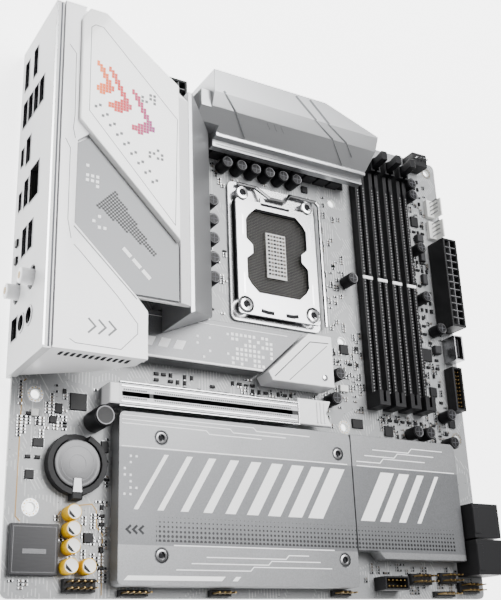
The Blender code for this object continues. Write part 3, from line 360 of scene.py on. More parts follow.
def centred(size, height, edge=0.0, base=0.0):
    """A box standing on the board, centred on its own X and Y."""
    return block((-size[0] / 2, -size[1] / 2, base), (size[0] / 2, size[1] / 2, height), edge)


def free_places(places, margin):
    """The places that lie outside every CAD node near the board, and clear of its holes."""
    places = np.asarray(places, float)
    free = ((places > 2.0) & (places < BOARD_SIDE - 2.0)).all(1)
    for node in frame["nodes"]:
        low, high = board_box(node)
        if node != "circuit_board" and low[2] < 3.0 and high[2] > 0:
            inside = (places > low[:2] - margin) & (places < high[:2] + margin)
            free &= ~inside.all(1)
    for hole in list(MOUNTING_HOLES) + COOLER_HOLES:
        free &= np.hypot(*(places - hole).T) > 6.0
    return places[free]


chance = np.random.default_rng(7)
# Where they cluster: left, lower and right ends, bottom and top edges, and how many rows to try
CLUSTERS = (((36, 66), (43, 4), 60), ((2, 60), (24, 84), 60), ((150, 78), (180, 128), 110),
            ((186, 76), (232, 90), 70), ((216, 90), (234, 228), 130), ((60, 122), (104, 205), 70),
            ((150, 124), (172, 200), 60), ((168, 2), (240, 16), 70), ((4, 3), (42, 30), 50),
            ((100, 87), (150, 99), 40), ((2, 84), (60, 98), 60), ((20, 200), (170, 242), 60))
spots = []
for (x0, y0), (x1, y1), tries in CLUSTERS:
    across = chance.uniform(min(x0, x1), max(x0, x1), tries)
    up = chance.uniform(min(y0, y1), max(y0, y1), tries)
    for x, y in zip(across, up):
        run = int(chance.integers(1, 4))
        spots += [(round(x / 1.9) * 1.9, round(y / 1.3) * 1.3 + k * 1.3) for k in range(run)]
spots = free_places(sorted(set(spots)), 1.0)
chosen_kind = chance.integers(0, 3, len(spots))
on_board = np.column_stack((spots, np.zeros(len(spots))))
lying = [centred((1.1, 0.8), 0.55), centred((0.8, 0.8), 0.35), centred((1.0, 0.75), 0.7)]
cap_end = [block((side * 0.75 - 0.25, -0.42, 0), (side * 0.75 + 0.25, 0.42, 0.6)) for side in (-1, 1)]
small = [(finish, repeated(lying[k], on_board[chosen_kind == k]))
         for k, finish in enumerate((ceramic, resistor_black, resistor_black))]
piece("small_parts", small + [(tin, *[repeated(end, on_board) for end in cap_end])])

# ---------------------------------------------------------------- processor socket
# A black land-grid socket under a stamped stainless load plate.  A steel frame is screwed through
# the board to a backplate, and a bent wire lever presses the plate's tail down.
stainless = grained("stainless_steel", (0.42, 0.42, 0.43), 0.26, 1.0, 0.35, 0.1, 0.006)
spring_steel = grained("spring_steel", (0.6, 0.6, 0.61), 0.2, 1.0, 0.6, 0.06, 0.004)
socket_black = grained("socket_plastic", (0.012, 0.012, 0.013), 0.55, 0.0, 0.3, 0.25)
# Near black: painted shade in screw sockets, load plate slots, slot pockets and cover slits, and the
# chipset's own black package
recess_shade_and_chip_black = grained("recess_shade_and_chip_black", (0.012, 0.012, 0.014), 0.7, 0.0, 0.4, 0.2)
pin_gold = grained("pin_gold", (0.13, 0.125, 0.115), 0.35, 1.0, 0.3, 0.2)
core_plate = grained("core_laminate", (0.45, 0.45, 0.44), 0.5, 0.1, 0.5, 0.1)


def softened(node, finish, width=0.25):
    """A CAD node's own faces, merged into flats and with every sharp edge rounded by a bevel."""
    source = frame["nodes"][node]
    shape = bmesh.new()
    shape.from_mesh(source.data)
    bmesh.ops.remove_doubles(shape, verts=shape.verts, dist=1e-6)
    bmesh.ops.dissolve_limit(shape, angle_limit=np.radians(0.5), verts=shape.verts, edges=shape.edges)
    mesh = bpy.data.meshes.new(node + "_finished")
    shape.to_mesh(mesh)
    shape.free()
    mesh.materials.append(finish.material)
    mesh.shade_smooth()
    mesh.set_sharp_from_angle(angle=np.radians(16))
    made = bpy.data.objects.new(node + "_finished", mesh)
    bpy.context.scene.collection.objects.link(made)
    edges = made.modifiers.new("rounded_edges", "BEVEL")
    edges.width = width * MM
    edges.segments = 2
    edges.limit_method = "ANGLE"
    edges.angle_limit = np.radians(28)
    edges.harden_normals = True
    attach(made, source["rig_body"])
    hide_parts(node)
    return made


def stroke(route, width, depth=0.12):
    """A printed or pressed line: a flat strip carried along the route, mitred level at each bend."""
    route = np.asarray(route, float)
    steps = np.diff(route[:, :2], axis=0)
    steps /= np.linalg.norm(steps, axis=1)[:, None]
    side = np.stack((-steps[:, 1], steps[:, 0]), 1)
    before, after = np.vstack((side[:1], side)), np.vstack((side, side[-1:]))
    mitre = (before + after) / np.maximum(1 + (before * after).sum(1), 0.3)[:, None] * (width / 2)
    left = np.column_stack((route[:, :2] + mitre, route[:, 2]))
    right = np.column_stack((route[:, :2] - mitre, route[:, 2]))
    drop = np.array((0, 0, depth))
    return lofted(np.stack((right - drop, left - drop, left, right), 1)[:, ::-1])


def level(points, height):
    """Plan points lifted to one height."""
    points = np.asarray(points, float)
    return np.column_stack((points, np.full(len(points), height)))


def torx_screw(centre, radius, foot, top):
    """A pan-head screw: a domed profile turned round, with a socket sunk in its crown."""
    socket = radius * 0.5
    profile = ((radius * 0.9, foot), (radius, foot + 0.2), (radius, top - 0.7), (radius * 0.86, top - 0.15),
               (socket + 0.25, top), (socket, top - 0.12), (socket * 0.9, top - 1.1))
    return turned(profile, centre, 28)


def star(centre, radius, low, high, points=6):
    """A six-lobed recess: a circle whose radius swings in and out as it goes round."""
    angle = np.arange(points * 4) * (2 * np.pi / (points * 4))
    reach = radius * (0.86 + 0.14 * np.cos(points * angle))
    outline = np.stack((centre[0] + reach * np.cos(angle), centre[1] + reach * np.sin(angle)), 1)
    return slab(outline, low, high)


softened("socket_backplate", grained("backplate_steel", (0.12, 0.12, 0.13), 0.4, 0.9), 0.3)
softened("socket_body", socket_black, 0.3)
softened("ilm_frame", stainless, 0.2)
softened("ilm_load_plate", stainless, 0.35)
repaint(["ilm_lever"], spring_steel)
SOCKET_CENTRE = np.array((128.3, 163.1))
for number, (side, end) in enumerate(((-1, 1), (1, 1), (-1, -1), (1, -1)), 1):
    site = SOCKET_CENTRE + (side * 19.2, end * 29.7)
    # A dark six-lobed star floors each screw's socket: painted shade inside the recess
    piece(f"load_plate_screw_{number}",
          [(spring_steel, torx_screw(site, 3.55, 3.4, 5.6), turned(((1.7, -1.6), (1.7, 3.6)), site, 16)),
           (recess_shade_and_chip_black, star(site, 1.75, 4.4, 4.72))],
          stands_for=(f"ilm_screw_{number}",), smooth=30)

# The land grid: rows of spring contacts leaning one way, around a bare middle with its small parts
PIN_PITCH = 0.92
columns, rows = np.meshgrid(np.arange(110.6, 146.2, PIN_PITCH), np.arange(141.8, 184.6, PIN_PITCH * 0.9))
pins = np.column_stack((columns.ravel(), rows.ravel(), np.full(columns.size, 3.4)))
CORE_LOW, CORE_HIGH = (122.6, 150.2), (134.2, 174.4)
in_core = ((pins[:, :2] > CORE_LOW) & (pins[:, :2] < CORE_HIGH)).all(1)
spring = lofted([((-0.26, -0.1, 0), (0.1, -0.1, 0), (0.1, 0.1, 0), (-0.26, 0.1, 0)),
                 ((0.1, -0.08, 0.3), (0.32, -0.08, 0.3), (0.32, 0.08, 0.3), (0.1, 0.08, 0.3))])
core = block((*CORE_LOW, 3.3), (*CORE_HIGH, 3.52), 0.1)
core_x, core_y = np.meshgrid(np.arange(124.2, 133.6, 1.75), np.arange(152.4, 173.4, 2.05))
core_spots = np.column_stack((core_x.ravel(), core_y.ravel(), np.full(core_x.size, 3.52)))
rim = [block((109.4, 140.6, 3.3), (147.2, 141.3, 4.1), 0.15),
       block((109.4, 184.9, 3.3), (147.2, 185.6, 4.1), 0.15),
       block((109.4, 140.6, 3.3), (110.1, 185.6, 4.1), 0.15),
       block((146.5, 140.6, 3.3), (147.2, 185.6, 4.1), 0.15)]
piece("land_grid", [(pin_gold, repeated(spring, pins[~in_core])), (core_plate, core), (socket_black, *rim),
                    (resistor_black, repeated(centred((1.0, 0.8), 0.5), core_spots[::2])),
                    (ceramic, repeated(centred((1.0, 0.8), 0.5), core_spots[1::2]))])
# Pressed ribs and slots of the load plate ride with it: the ribs are strips of lighter steel, a painted
# highlight, and the slots are dark strips, painted shade where the holes go through
plate_top = board_box("ilm_load_plate")[1][2]
ribs = [stroke(level(((108.6, 139), (108.6, 150)), plate_top + 0.08), 1.0),
        stroke(level(((148.0, 139), (148.0, 150)), plate_top + 0.08), 1.0),
        stroke(level(((108.6, 170), (108.6, 181)), plate_top + 0.08), 1.0),
        stroke(level(((148.0, 170), (148.0, 181)), plate_top + 0.08), 1.0)]
slots = [stroke(level(((117.4, 131.6), (120.4, 131.0), (124.6, 131.0)), plate_top + 0.06), 1.9),
         stroke(level(((131.4, 131.0), (135.6, 131.0), (138.6, 131.6)), plate_top + 0.06), 1.9),
         stroke(level(((119.5, 188.6), (136.5, 188.6)), plate_top + 0.06), 1.4)]
piece("load_plate_pressing_light_and_shade", [(spring_steel, *ribs), (recess_shade_and_chip_black, *slots)], body="load_plate")

# ---------------------------------------------------------------- memory slots
# Four black 288-contact slots, each a moulded channel with a row of plated contacts down both
# sides, a key across it and a lever latch at its far end only.
slot_black = grained("slot_plastic", (0.009, 0.009, 0.01), 0.4, 0.0, 0.35, 0.2)
latch_gloss = grained("latch_plastic", (0.012, 0.012, 0.013), 0.3, 0.0, 0.5, 0.15)
contact_grey = grained("contact_plate", (0.16, 0.16, 0.165), 0.4, 0.6, 0.3, 0.15)
key_white = grained("key_print", (0.82, 0.82, 0.83), 0.5, 0.0, 0.6, 0.05)
contact = centred((0.62, 0.85), 0.34, 0.08)
for number in range(1, 5):
    low, high = board_box(f"memory_slot_{number}")
    softened(f"memory_slot_{number}", slot_black, 0.2)
    softened(f"memory_latch_{number}", latch_gloss, 0.35)
    middle = (low[0] + high[0]) / 2
    run = np.arange(low[1] + 8.5, high[1] - 18.5, 1.7)
    run = run[abs(run - 160.2) > 1.6]
    ridge = [np.column_stack((np.full(len(run), middle + side * 1.9), run, np.full(len(run), 5.3)))
             for side in (-1, 1)]
    guides = [block((middle + side * 1.2 - 0.16, low[1] + 4, 5.2),
                    (middle + side * 1.2 + 0.16, high[1] - 17, 5.75), 0.1)
              for side in (-1, 1)]
    piece(f"memory_contacts_{number}",
          [(contact_grey, repeated(contact, np.concatenate(ridge))), (slot_black, *guides),
           (key_white, block((low[0] + 0.2, 159.3, 5.25), (high[0] - 0.2, 161.0, 5.85), 0.12))])

# ---------------------------------------------------------------- expansion slot
# A sixteen-lane slot in a stainless armour soldered to the board, with a white spring latch that
# holds the card's heel.
armour = grained("armour_steel", (0.5, 0.5, 0.51), 0.24, 1.0, 0.5, 0.08, 0.006, stretch=(6, 1, 1))
slot_core = Finish("slot_core", (0.3, 0.3, 0.31), 0.4, 0.5)
# The card channel down the slot's middle is painted near black: painted shade in the narrow channel
channel = (abs(slot_core.y - 81.2) < 1.0) * (slot_core.x > 43.5)
moulding = slot_core.noise(0.5, 2.0)
slot_core.set("Base Color", channel.tint(moulding.tint((0.26, 0.26, 0.27), (0.34, 0.34, 0.35)),
                                         (0.006, 0.006, 0.007)))
slot_core.relief(moulding, 0.008)
latch_white = grained("latch_white", (0.78, 0.78, 0.79), 0.4, 0.0, 0.8, 0.04, coat=0.2)
softened("expansion_slot", slot_core, 0.2)
softened("expansion_slot_armour", armour, 0.18)
softened("expansion_latch", latch_white, 0.5)
low, high = board_box("expansion_slot")
middle = (low[1] + high[1]) / 2
run = np.concatenate((np.arange(44.5, 55.4, 1.0), np.arange(58.8, 127.4, 1.0)))
rows = [np.column_stack((run, np.full(len(run), middle + side * 1.75), np.full(len(run), high[2])))
        for side in (-1, 1)]
rails = [block((low[0] + 5, middle + side * 3.3 - 0.35, high[2]),
               (high[0] - 0.6, middle + side * 3.3 + 0.35, high[2] + 0.28), 0.12)
         for side in (-1, 1)]
tabs = [block((x, middle + side * 5.35 - 0.2, 0.2), (x + 2.4, middle + side * 5.35 + 0.2, 3.2), 0.1)
        for x in (49, 66, 83, 100, 117) for side in (-1, 1)]
# The rows of small dark squares on the slot's top are painted shade in its contact pockets
piece("expansion_contacts", [(recess_shade_and_chip_black, repeated(centred((0.6, 0.62), 0.05), np.concatenate(rows))),
                             (armour, *rails, *tabs),
                             (latch_white, block((low[0] - 0.1, middle - 4.4, 2),
                                                 (low[0] + 4.2, middle + 4.4, 11.25), 0.4))])
low, high = board_box("expansion_latch")
piece("expansion_latch_grip", [(latch_white, *[block((x, low[1] + 1.2, high[2] - 0.1),
                                                     (x + 0.8, high[1] - 1.2, high[2] + 0.5), 0.2)
                                               for x in (143.2, 145.2, 147.2)])],
      body="slot_latch")

# ---------------------------------------------------------------- power stage heatsinks
# Two aluminium extrusions over the power stages: the back one is painted pearl with two machined
# rails along its foot, and the left one stands up to meet the cover.
pearl = grained("pearl_aluminium", (0.4, 0.405, 0.415), 0.3, 0.75, 0.3, 0.06, 0.008)
machined = grained("machined_aluminium", (0.6, 0.61, 0.62), 0.22, 1.0, 0.5, 0.08, 0.006, stretch=(12, 1, 1))
groove_dark = grained("groove_shadow", (0.07, 0.07, 0.08), 0.6, 0.3, 0.5, 0.2)
groove_grey = grained("groove_grey", (0.12, 0.123, 0.128), 0.5, 0.6, 0.5, 0.15)
softened("power_heatsink_top", pearl, 0.4)
softened("power_heatsink_left", pearl, 0.4)
TOP_GROOVES = (((86.0, 230.2, 30.06), (87.4, 228.8, 29.98), (94.4, 222.4, 27.1), (104.3, 215.8, 17.6)),
               ((127.7, 239.9, 30.06), (139.1, 229.2, 30.06), (151.0, 222.9, 27.3), (163.1, 215.8, 17.5)),
               ((136.2, 240.1, 30.06), (147.1, 229.1, 30.06), (159.8, 222.9, 27.3), (166.4, 219.0, 22.2)))
grooves = [stroke(route, 1.35) for route in TOP_GROOVES]
rail_lines = [stroke(((90.0, 215.3, 17.08), (178.3, 215.3, 17.08)), 0.5),
              stroke(((90.0, 211.2, 13.28), (178.3, 211.2, 13.28)), 0.4)]
FLANK = (215.7, 17.3), (217.4, 19.75)
chevrons = [stroke([(x, y + 4.6, z + 6.72) for x, (y, z) in zip((x0 + 3.2, x0), FLANK)], 0.5, 0.1)
            for x0 in (112.0, 116.0, 120.0)]
piece("power_heatsink_lines", [(groove_grey, *grooves, *rail_lines), (machined, *chevrons)])

# ---------------------------------------------------------------- chokes and capacitors
# Moulded iron-powder chokes beside the power stages, and round polymer capacitors in black
# sleeves with bare, scored tops.
choke_grey = grained("choke_iron", (0.03, 0.03, 0.032), 0.5, 0.0, 0.25, 0.3, 0.015)
sleeve_black = grained("sleeve_black", (0.008, 0.008, 0.009), 0.35, 0.0, 0.6, 0.2)
can_top = grained("can_top", (0.07, 0.07, 0.073), 0.34, 0.8, 0.4, 0.15)
choke = centred((6.6, 6.4), 6.8, 0.5)
lead_pair = [block((side * 3.1 - 0.3, -1.4, 0), (side * 3.1 + 0.3, 1.4, 2.4), 0.1) for side in (-1, 1)]
CHOKES = [(x, 214.0, 0) for x in np.arange(95.0, 170.0, 8.0)]
CHOKES += [(82.0, y, 0) for y in np.arange(134.0, 208.0, 8.2)]
piece("chokes", [(choke_grey, repeated(choke, CHOKES)),
                 (tin, *[repeated(lead, CHOKES) for lead in lead_pair])])
can = turned(((2.6, 0.0), (3.15, 0.3), (3.15, 6.9), (2.95, 7.35), (3.1, 7.7), (2.75, 8.0)), sides=26)
can_cap = turned(((2.7, 7.9), (2.62, 8.06), (2.2, 7.98)), sides=26)
score = [block((-2.0, -0.12, 7.98), (2.0, 0.12, 8.08)), block((-0.12, -2.0, 7.98), (0.12, 2.0, 8.08))]
CAN_ROWS = [(99.7 + 8.2 * k, 206.5) for k in range(6)] + [(91.0, 183.4 - 10.05 * k) for k in range(5)]
LONE_CANS = [(172, 157), (219, 223), (219, 215.8), (221, 184), (221, 155), (229, 138), (229, 90.5),
             (205.5, 79.7),
             (213.5, 79.7), (229, 76), (159.5, 104.5), (156.5, 92)]
CANS = CAN_ROWS + LONE_CANS
cans = level(CANS, 0.0)
piece("polymer_capacitors", [(sleeve_black, repeated(can, cans)), (can_top, repeated(can_cap, cans)),
                             (groove_dark, *[repeated(line, cans) for line in score])])

# ---------------------------------------------------------------- storage heatsinks and chipset heatsink
# Sandblasted silver aluminium lids, screen printed.  A darker band crosses the lower one and the
# chipset's, with plain leaning stripes over a strip of fading dots; the upper one has small squares.
sandblast = Finish("sandblasted_silver", (0.3, 0.3, 0.31), 0.4, 0.5)
blast = (sandblast.noise(0.55, 2.0) - 0.5) * 1.9 + 0.5
band = sandblast.y.between(20.0, 59.2)
cast = (sandblast.noise(30.0, 1.0) * 0.5 + blast * 0.5).tint((0.13, 0.132, 0.136), (0.26, 0.264, 0.27))
band_cast = (sandblast.noise(30.0, 1.0) * 0.5 + blast * 0.5).tint((0.075, 0.077, 0.08), (0.15, 0.153, 0.16))
printed = (band * (sandblast.z > 8.8)).tint(cast, band_cast)
DOT_PITCH = 1.9
DOT_FOOT, DOT_HEAD = 21.5, 32.0
dot_x = (sandblast.x % DOT_PITCH) - DOT_PITCH / 2
dot_y = (sandblast.y % DOT_PITCH) - DOT_PITCH / 2
fade = (sandblast.y - DOT_HEAD) * (-0.5 / (DOT_HEAD - DOT_FOOT))
dots = (dot_x * dot_x + dot_y * dot_y - fade) < 0.0
strip = sandblast.y.between(DOT_FOOT, DOT_HEAD) * sandblast.x.between(60.0, 220.0)
printed = (dots * strip * (sandblast.z > 8.8)).tint(printed, (0.012, 0.012, 0.013))
sandblast.set("Base Color", printed)
sandblast.set("Roughness", blast * 0.12 + 0.34)
sandblast.relief(blast, 0.012)
screw_steel = grained("lid_screw_steel", (0.2, 0.2, 0.205), 0.3, 1.0, 0.4, 0.15)
stripe_white = grained("stripe_print", (0.93, 0.93, 0.93), 0.45, 0.0, 0.5, 0.03)
trace_white = grained("trace_print", (0.9, 0.9, 0.91), 0.45, 0.0, 0.5, 0.03)
square_grey = grained("square_print", (0.035, 0.036, 0.038), 0.5, 0.0, 0.5, 0.08)
upper_silver = grained("upper_silver", (0.17, 0.172, 0.178), 0.4, 0.5, 0.55, 0.35, 0.012)
softened("storage_heatsink_lower", sandblast, 0.3)
softened("chipset_heatsink", sandblast, 0.3)
softened("storage_heatsink_upper", upper_silver, 0.3)
softened("storage_latch", grained("drive_latch_white", (0.7, 0.7, 0.71), 0.4, 0.1, 0.6, 0.04), 0.45)
softened("storage_connector_lower", slot_black, 0.15)
softened("storage_connector_upper", slot_black, 0.15)
softened("chipset", recess_shade_and_chip_black, 0.1)
LID = 9.0


def anticlockwise(outline):
    """The outline in the order that makes its area positive."""
    outline = np.asarray(outline, float)
    ahead = np.roll(outline, -1, 0)
    area = (outline[:, 0] * ahead[:, 1] - outline[:, 1] * ahead[:, 0]).sum()
    return outline if area > 0 else outline[::-1]


def patch(outline, height, thick=0.06):
    """A printed shape: its outline, just proud of the surface it is printed on."""
    return slab(anticlockwise(outline), height - 0.05, height + thick)


def squares(places, size, height):
    """Small printed squares at each place."""
    return repeated(centred((size, size), 0.07), level(places, height))


def stripe(left, width, foot, head, slope=0.6):
    """A leaning stripe's outline: its foot edge moved sideways by slope times the height it climbs."""
    shift = slope * (head - foot)
    return (left, foot), (left + width, foot), (left + width + shift, head), (left + shift, head)


def stepped(left, y, bend, right, rise):
    """A straight route that climbs by rise at 45 degrees from bend on."""
    return (left, y), (bend, y), (bend + abs(rise), y + rise), (right, y + rise)


def scattered(seed, low, high, pitch, share):
    """Places of a square grid between two corners, of which a seeded share is kept."""
    x, y = np.meshgrid(np.arange(low[0], high[0], pitch), np.arange(low[1], high[1], pitch))
    kept = np.random.default_rng(seed).random(x.shape) < share
    return np.column_stack((x[kept], y[kept]))


STRIPE_FOOT, STRIPE_HEAD = 34.0, 57.2
stripes = [stripe(50.0 + 10.6 * k, 2.0 + 0.75 * k, STRIPE_FOOT, STRIPE_HEAD) for k in range(9)]
stripes += [stripe(164.0 + 11.2 * k, 8.0 - 1.9 * k, STRIPE_FOOT, STRIPE_HEAD) for k in range(4)]
stripes += [stripe(46.0, 44.0, 6.4, 8.2, 1.0), stripe(95.0, 2.4, 6.4, 8.2, 1.0)]
routes = [stepped(44.5, 69.2 + 1.7 * k, 84.0 + 12.0 * k, 112.0 + 13.0 * k, -1.5) for k in range(3)]
routes += [stepped(164.0 + 5.0 * k, 61.6 + 3.1 * k, 178.0 + 9.0 * k, 206.0 + 6.0 * k, 2.2) for k in range(3)]
routes += [stepped(69.0 + 7.0 * k, 10.6 + 2.6 * k, 104.0 + 9.0 * k, 146.0 - 6.0 * k, 1.6) for k in range(3)]
routes += [((44.5, 59.6), (158.5, 59.6)), ((164.0, 59.6), (224.5, 59.6)), ((68.0, 20.2), (148.0, 20.2))]
arrow = np.array(((0.0, 0.0), (2.2, 2.0), (2.9, 1.3), (1.4, 0.0), (2.9, -1.3), (2.2, -2.0)))
piece("heatsink_print", [(stripe_white, *[patch(outline, LID, 0.05) for outline in stripes]),
                         (trace_white, *[stroke(level(route, LID + 0.06), 0.42, 0.1) for route in routes],
                          squares(scattered(3, (46.0, 40.0), (52.0, 56.0), 2.6, 0.45), 0.9, LID)),
                         (square_grey, *[patch(arrow + (46.4 + 2.8 * k, 26.0), LID,
                                               0.05) for k in range(3)])])
for number, site in enumerate(((62.6, 64.3), (153.6, 64.3), (62.6, 16.1), (153.6, 16.1)), 1):
    # A dark star floors each screw's socket, painted shade inside the recess, and a grey ring round the head
    # is painted shade where it meets the lid
    piece(f"lid_screw_{number}",
          [(screw_steel, torx_screw(site, 2.85, 7.6, 9.15), turned(((1.4, 0.3), (1.4, 7.8)), site, 16)),
           (recess_shade_and_chip_black, star(site, 1.3, 8.1, 8.35)), (groove_grey, washer(site, 2.9, 3.1, 8.95, 9.03))],
          stands_for=(f"heatsink_screw_{number}",), smooth=30)
thick_of_squares = scattered(8, (98.0, 101.5), (121.0, 116.5), 2.3, 0.55)
thick_of_squares = thick_of_squares[thick_of_squares @ (1, -1) < 14.5]  # clear of the leaning latch
edge_of_squares = scattered(9, (80.0, 102.5), (97.0, 116.5), 3.1, 0.3)
UPPER = 10.0
bar_run = np.array(((53.0, 104.4), (57.6, 104.4), (59.6, 108.6), (55.0, 108.6)))
piece("upper_print", [(stripe_white, squares(thick_of_squares, 1.4, UPPER)),
                      (trace_white, squares(edge_of_squares, 1.1, UPPER),
                       stroke(level(((52, 118.4), (128, 118.4)), UPPER + 0.05), 0.3),
                       *[patch(bar_run + (7.4 * k, 0), UPPER, 0.05) for k in range(3)]),
                      (stripe_white, stroke(level(((51, 99.9), (113.5, 99.9)), UPPER + 0.05), 0.8))])
LATCH_TOP = 12.5
piece("storage_latch_lines", [(square_grey, stroke(level(((118.5, 97.0), (139.2, 116.4), (149.9, 117.0)),
                                                         LATCH_TOP + 0.05), 0.45),
                               stroke(level(((126.5, 96.2), (148.9, 115.6)), LATCH_TOP + 0.05), 0.3)),
                              (spring_steel, turned(((1.5, LATCH_TOP), (1.5, 12.9), (1.1, 13.1)),
                                                    (146.5, 99.4), 18))],
      body="drive_latch")

# ---------------------------------------------------------------- rear cover and its panels
# A white moulded cover over the rear ports: a lowered grey plate crosses its middle, and a lit
# acrylic panel lies above it, lit from below in three plain chevrons of coloured cells.
cover_white = grained("cover_white", (0.76, 0.76, 0.77), 0.36, 0.1, 0.5, 0.035, 0.006, coat=0.15)
acrylic = grained("panel_acrylic", (0.86, 0.86, 0.86), 0.14, 0.0, 4.0, 0.02, 0.002, coat=0.6)
plate_grey = grained("plate_grey", (0.13, 0.133, 0.138), 0.38, 0.4, 0.35, 0.08, 0.008)
engraved = grained("engraved_line", (0.12, 0.122, 0.126), 0.5, 0.2, 0.5, 0.1)
softened("io_cover", cover_white, 0.5)
softened("io_light_panel", acrylic, 0.6)
softened("io_grey_plate", plate_grey, 0.2)
PANEL_TOP, WHITE_TOP, GREY_TOP = 43.6, 42.0, 41.0
hexagon = ((15.3, 234.2), (18.9, 234.1), (54.2, 197.7), (52.8, 146.3), (13.5, 190.8), (13.5, 232.4),
           (15.3, 234.2))
edge_row = np.array((16.3, 193.6)) + np.arange(9)[:, None] * (3.25, -3.68)
dark_squares = np.concatenate((edge_row, edge_row + (1.9, 1.1),
                               scattered(11, (37.5, 202.5), (43.5, 206.5), 1.9, 0.6),
                               scattered(12, (41.0, 176.0), (48.0, 181.5), 1.9, 0.4)))
glow = Finish("panel_glow", (0.9, 0.2, 0.3), 0.4)
sweep = (glow.x - 17.0) * (1 / 33.0)
rainbow = sweep.node("ShaderNodeValToRGB", {"stops": ((0.0, (0.9, 0.16, 0.0)), (0.3, (0.6, 0.004, 0.002)),
                                                      (0.6, (0.42, 0.0, 0.09)), (1.0, (0.05, 0.0, 0.2)))},
                     Fac=sweep)
glow.set("Base Color", rainbow)
glow.set("Emission Color", rainbow)
glow.set("Emission Strength", 0.12)
grid_x, grid_y = np.meshgrid(np.arange(17, 51, 1.35), np.arange(178, 216, 1.35))
fall = grid_y - (197.0 - (grid_x - 33.0) * 0.75)
lit = np.zeros(grid_x.shape, bool)
for start, reach in ((22.5, 7.5), (31.0, 9.5), (41.5, 9.5)):
    lit |= (abs(grid_x - start + 0.8 * abs(fall)) < 2.2) & (abs(fall) < reach)
lit_cells = np.column_stack((grid_x[lit], grid_y[lit], np.full(lit.sum(), PANEL_TOP)))
piece("panel_print", [(engraved, stroke(level(hexagon, PANEL_TOP + 0.05), 0.28),
                       squares(dark_squares, 1.25, PANEL_TOP)),
                      (glow, repeated(centred((1.24, 1.24), 0.08), lit_cells))])

# The grey plate carries white squares and one wedge of fine dark dots that narrows along it
along, across = np.meshgrid(np.arange(-14, 19, 1.2), np.arange(-5.4, 5.4, 1.2))
wedge = abs(across) < 5.6 * (20.0 - along) / 34.0
dot_plan = np.column_stack((along[wedge] * 0.72 + across[wedge] * 0.7 + 32.9,
                            along[wedge] * -0.69 + across[wedge] * 0.72 + 143.4))
plate_corner = scattered(5, (14.4, 157.6), (21.0, 166.6), 2.2, 0.6)
plate_corner = plate_corner[plate_corner.sum(1) < 181.0]
plate_squares = np.concatenate((plate_corner, scattered(6, (17.6, 139.6), (22.6, 146.6), 2.4, 0.4)))
halftone_dark = grained("halftone_dark", (0.012, 0.012, 0.013), 0.5, 0.2, 0.4, 0.2)
dashes = [patch(np.array(((29.9, 132.0), (31.0, 133.2), (34.4, 129.9), (33.3, 128.7))) + (k * 4.3, -k * 4.1),
                GREY_TOP) for k in range(3)]
piece("grey_plate_print", [(halftone_dark, squares(dot_plan, 0.92, GREY_TOP)),
                           (stripe_white, squares(plate_squares, 1.3, GREY_TOP), *dashes)])
LOWER_OUTLINE = ((9.2, 129.7), (12.5, 126.6), (28.1, 110.7), (36.6, 100.6), (36.6, 96.4), (29.7, 89.1),
                 (11.1, 89.3), (8.7, 90.7))
marks = [stroke(level(LOWER_OUTLINE, WHITE_TOP + 0.04), 0.3),
         stroke(level(((4.6, 221.7), (7.6, 218.0), (7.9, 188), (7.4, 181.5), (8.4, 177)),
                      WHITE_TOP + 0.04), 0.3),
         stroke(level(((4.2, 176), (6.4, 172), (6.4, 140), (8.0, 132)), WHITE_TOP + 0.04), 0.3)]
marks += [stroke(level(((16 + k * 4.2, 100), (19 + k * 4.2, 97), (16 + k * 4.2, 94)), WHITE_TOP + 0.04),
                 0.8) for k in range(3)]
rim_edge = [stroke(level(((-1.2, 87.0), (-1.2, 241.6)), 41.68), 0.7),
            stroke(((-1.2, 86.2, -2), (-1.2, 86.3, 41.6)), 0.7)]
rim_shadow = [stroke(level(((0.75, 86.6), (0.75, 242.0)), 41.66), 0.75),
              stroke(level(((2.2, 87.0), (2.2, 243.0)), 42.03), 0.3)]
strip_line = [stroke(((56.9, 117, 41.5), (56.9, 203, 41.5)), 0.35)]
# The slits are dark blocks on the cover's front, painted shade in the vent slits; the grey line along the
# bevel is painted shade on the bevel's face
slits = [block((x, 86.45, 33.6), (x + 1.1, 86.95, 38.4), 0.1) for x in np.arange(7.0, 37.0, 2.5)]
bevel_line = [stroke(((9.0, 137.6, 42.03), (36.2, 111.0, 42.03)), 0.5)]
piece("cover_engraving_and_shade", [(engraved, *marks, *strip_line), (groove_grey, *bevel_line),
                          (recess_shade_and_chip_black, *slits), (groove_dark, *rim_shadow),
                           (machined, *rim_edge)])

# ---------------------------------------------------------------- rear shield and ports
# A white painted steel shield closes the rear.  Each port shows through it as a dark mouth with a
# plated rim and a tongue inside, above two small push buttons and two antenna posts.
shield_paint = grained("shield_paint", (0.5, 0.505, 0.51), 0.4, 0.2, 0.6, 0.04)
port_dark = grained("port_dark", (0.012, 0.012, 0.013), 0.5, 0.0, 0.5, 0.15)
tongue_dark = grained("tongue_plastic", (0.05, 0.05, 0.055), 0.5, 0.0, 0.4, 0.1)
rim_plate = grained("rim_plate", (0.3, 0.3, 0.31), 0.28, 1.0, 0.5, 0.08)
softened("io_shield", shield_paint, 0.15)
PORT_NODES = ("display_ports", "usb_stack_upper", "usb_c_stack", "lan_stack", "usb_stack_lower",
              "audio_ports")
repaint(PORT_NODES, port_dark)


def facing_x(shape):
    """A shape built upright, laid over so that its height runs along X."""
    return shape[0][:, (2, 0, 1)], shape[1]


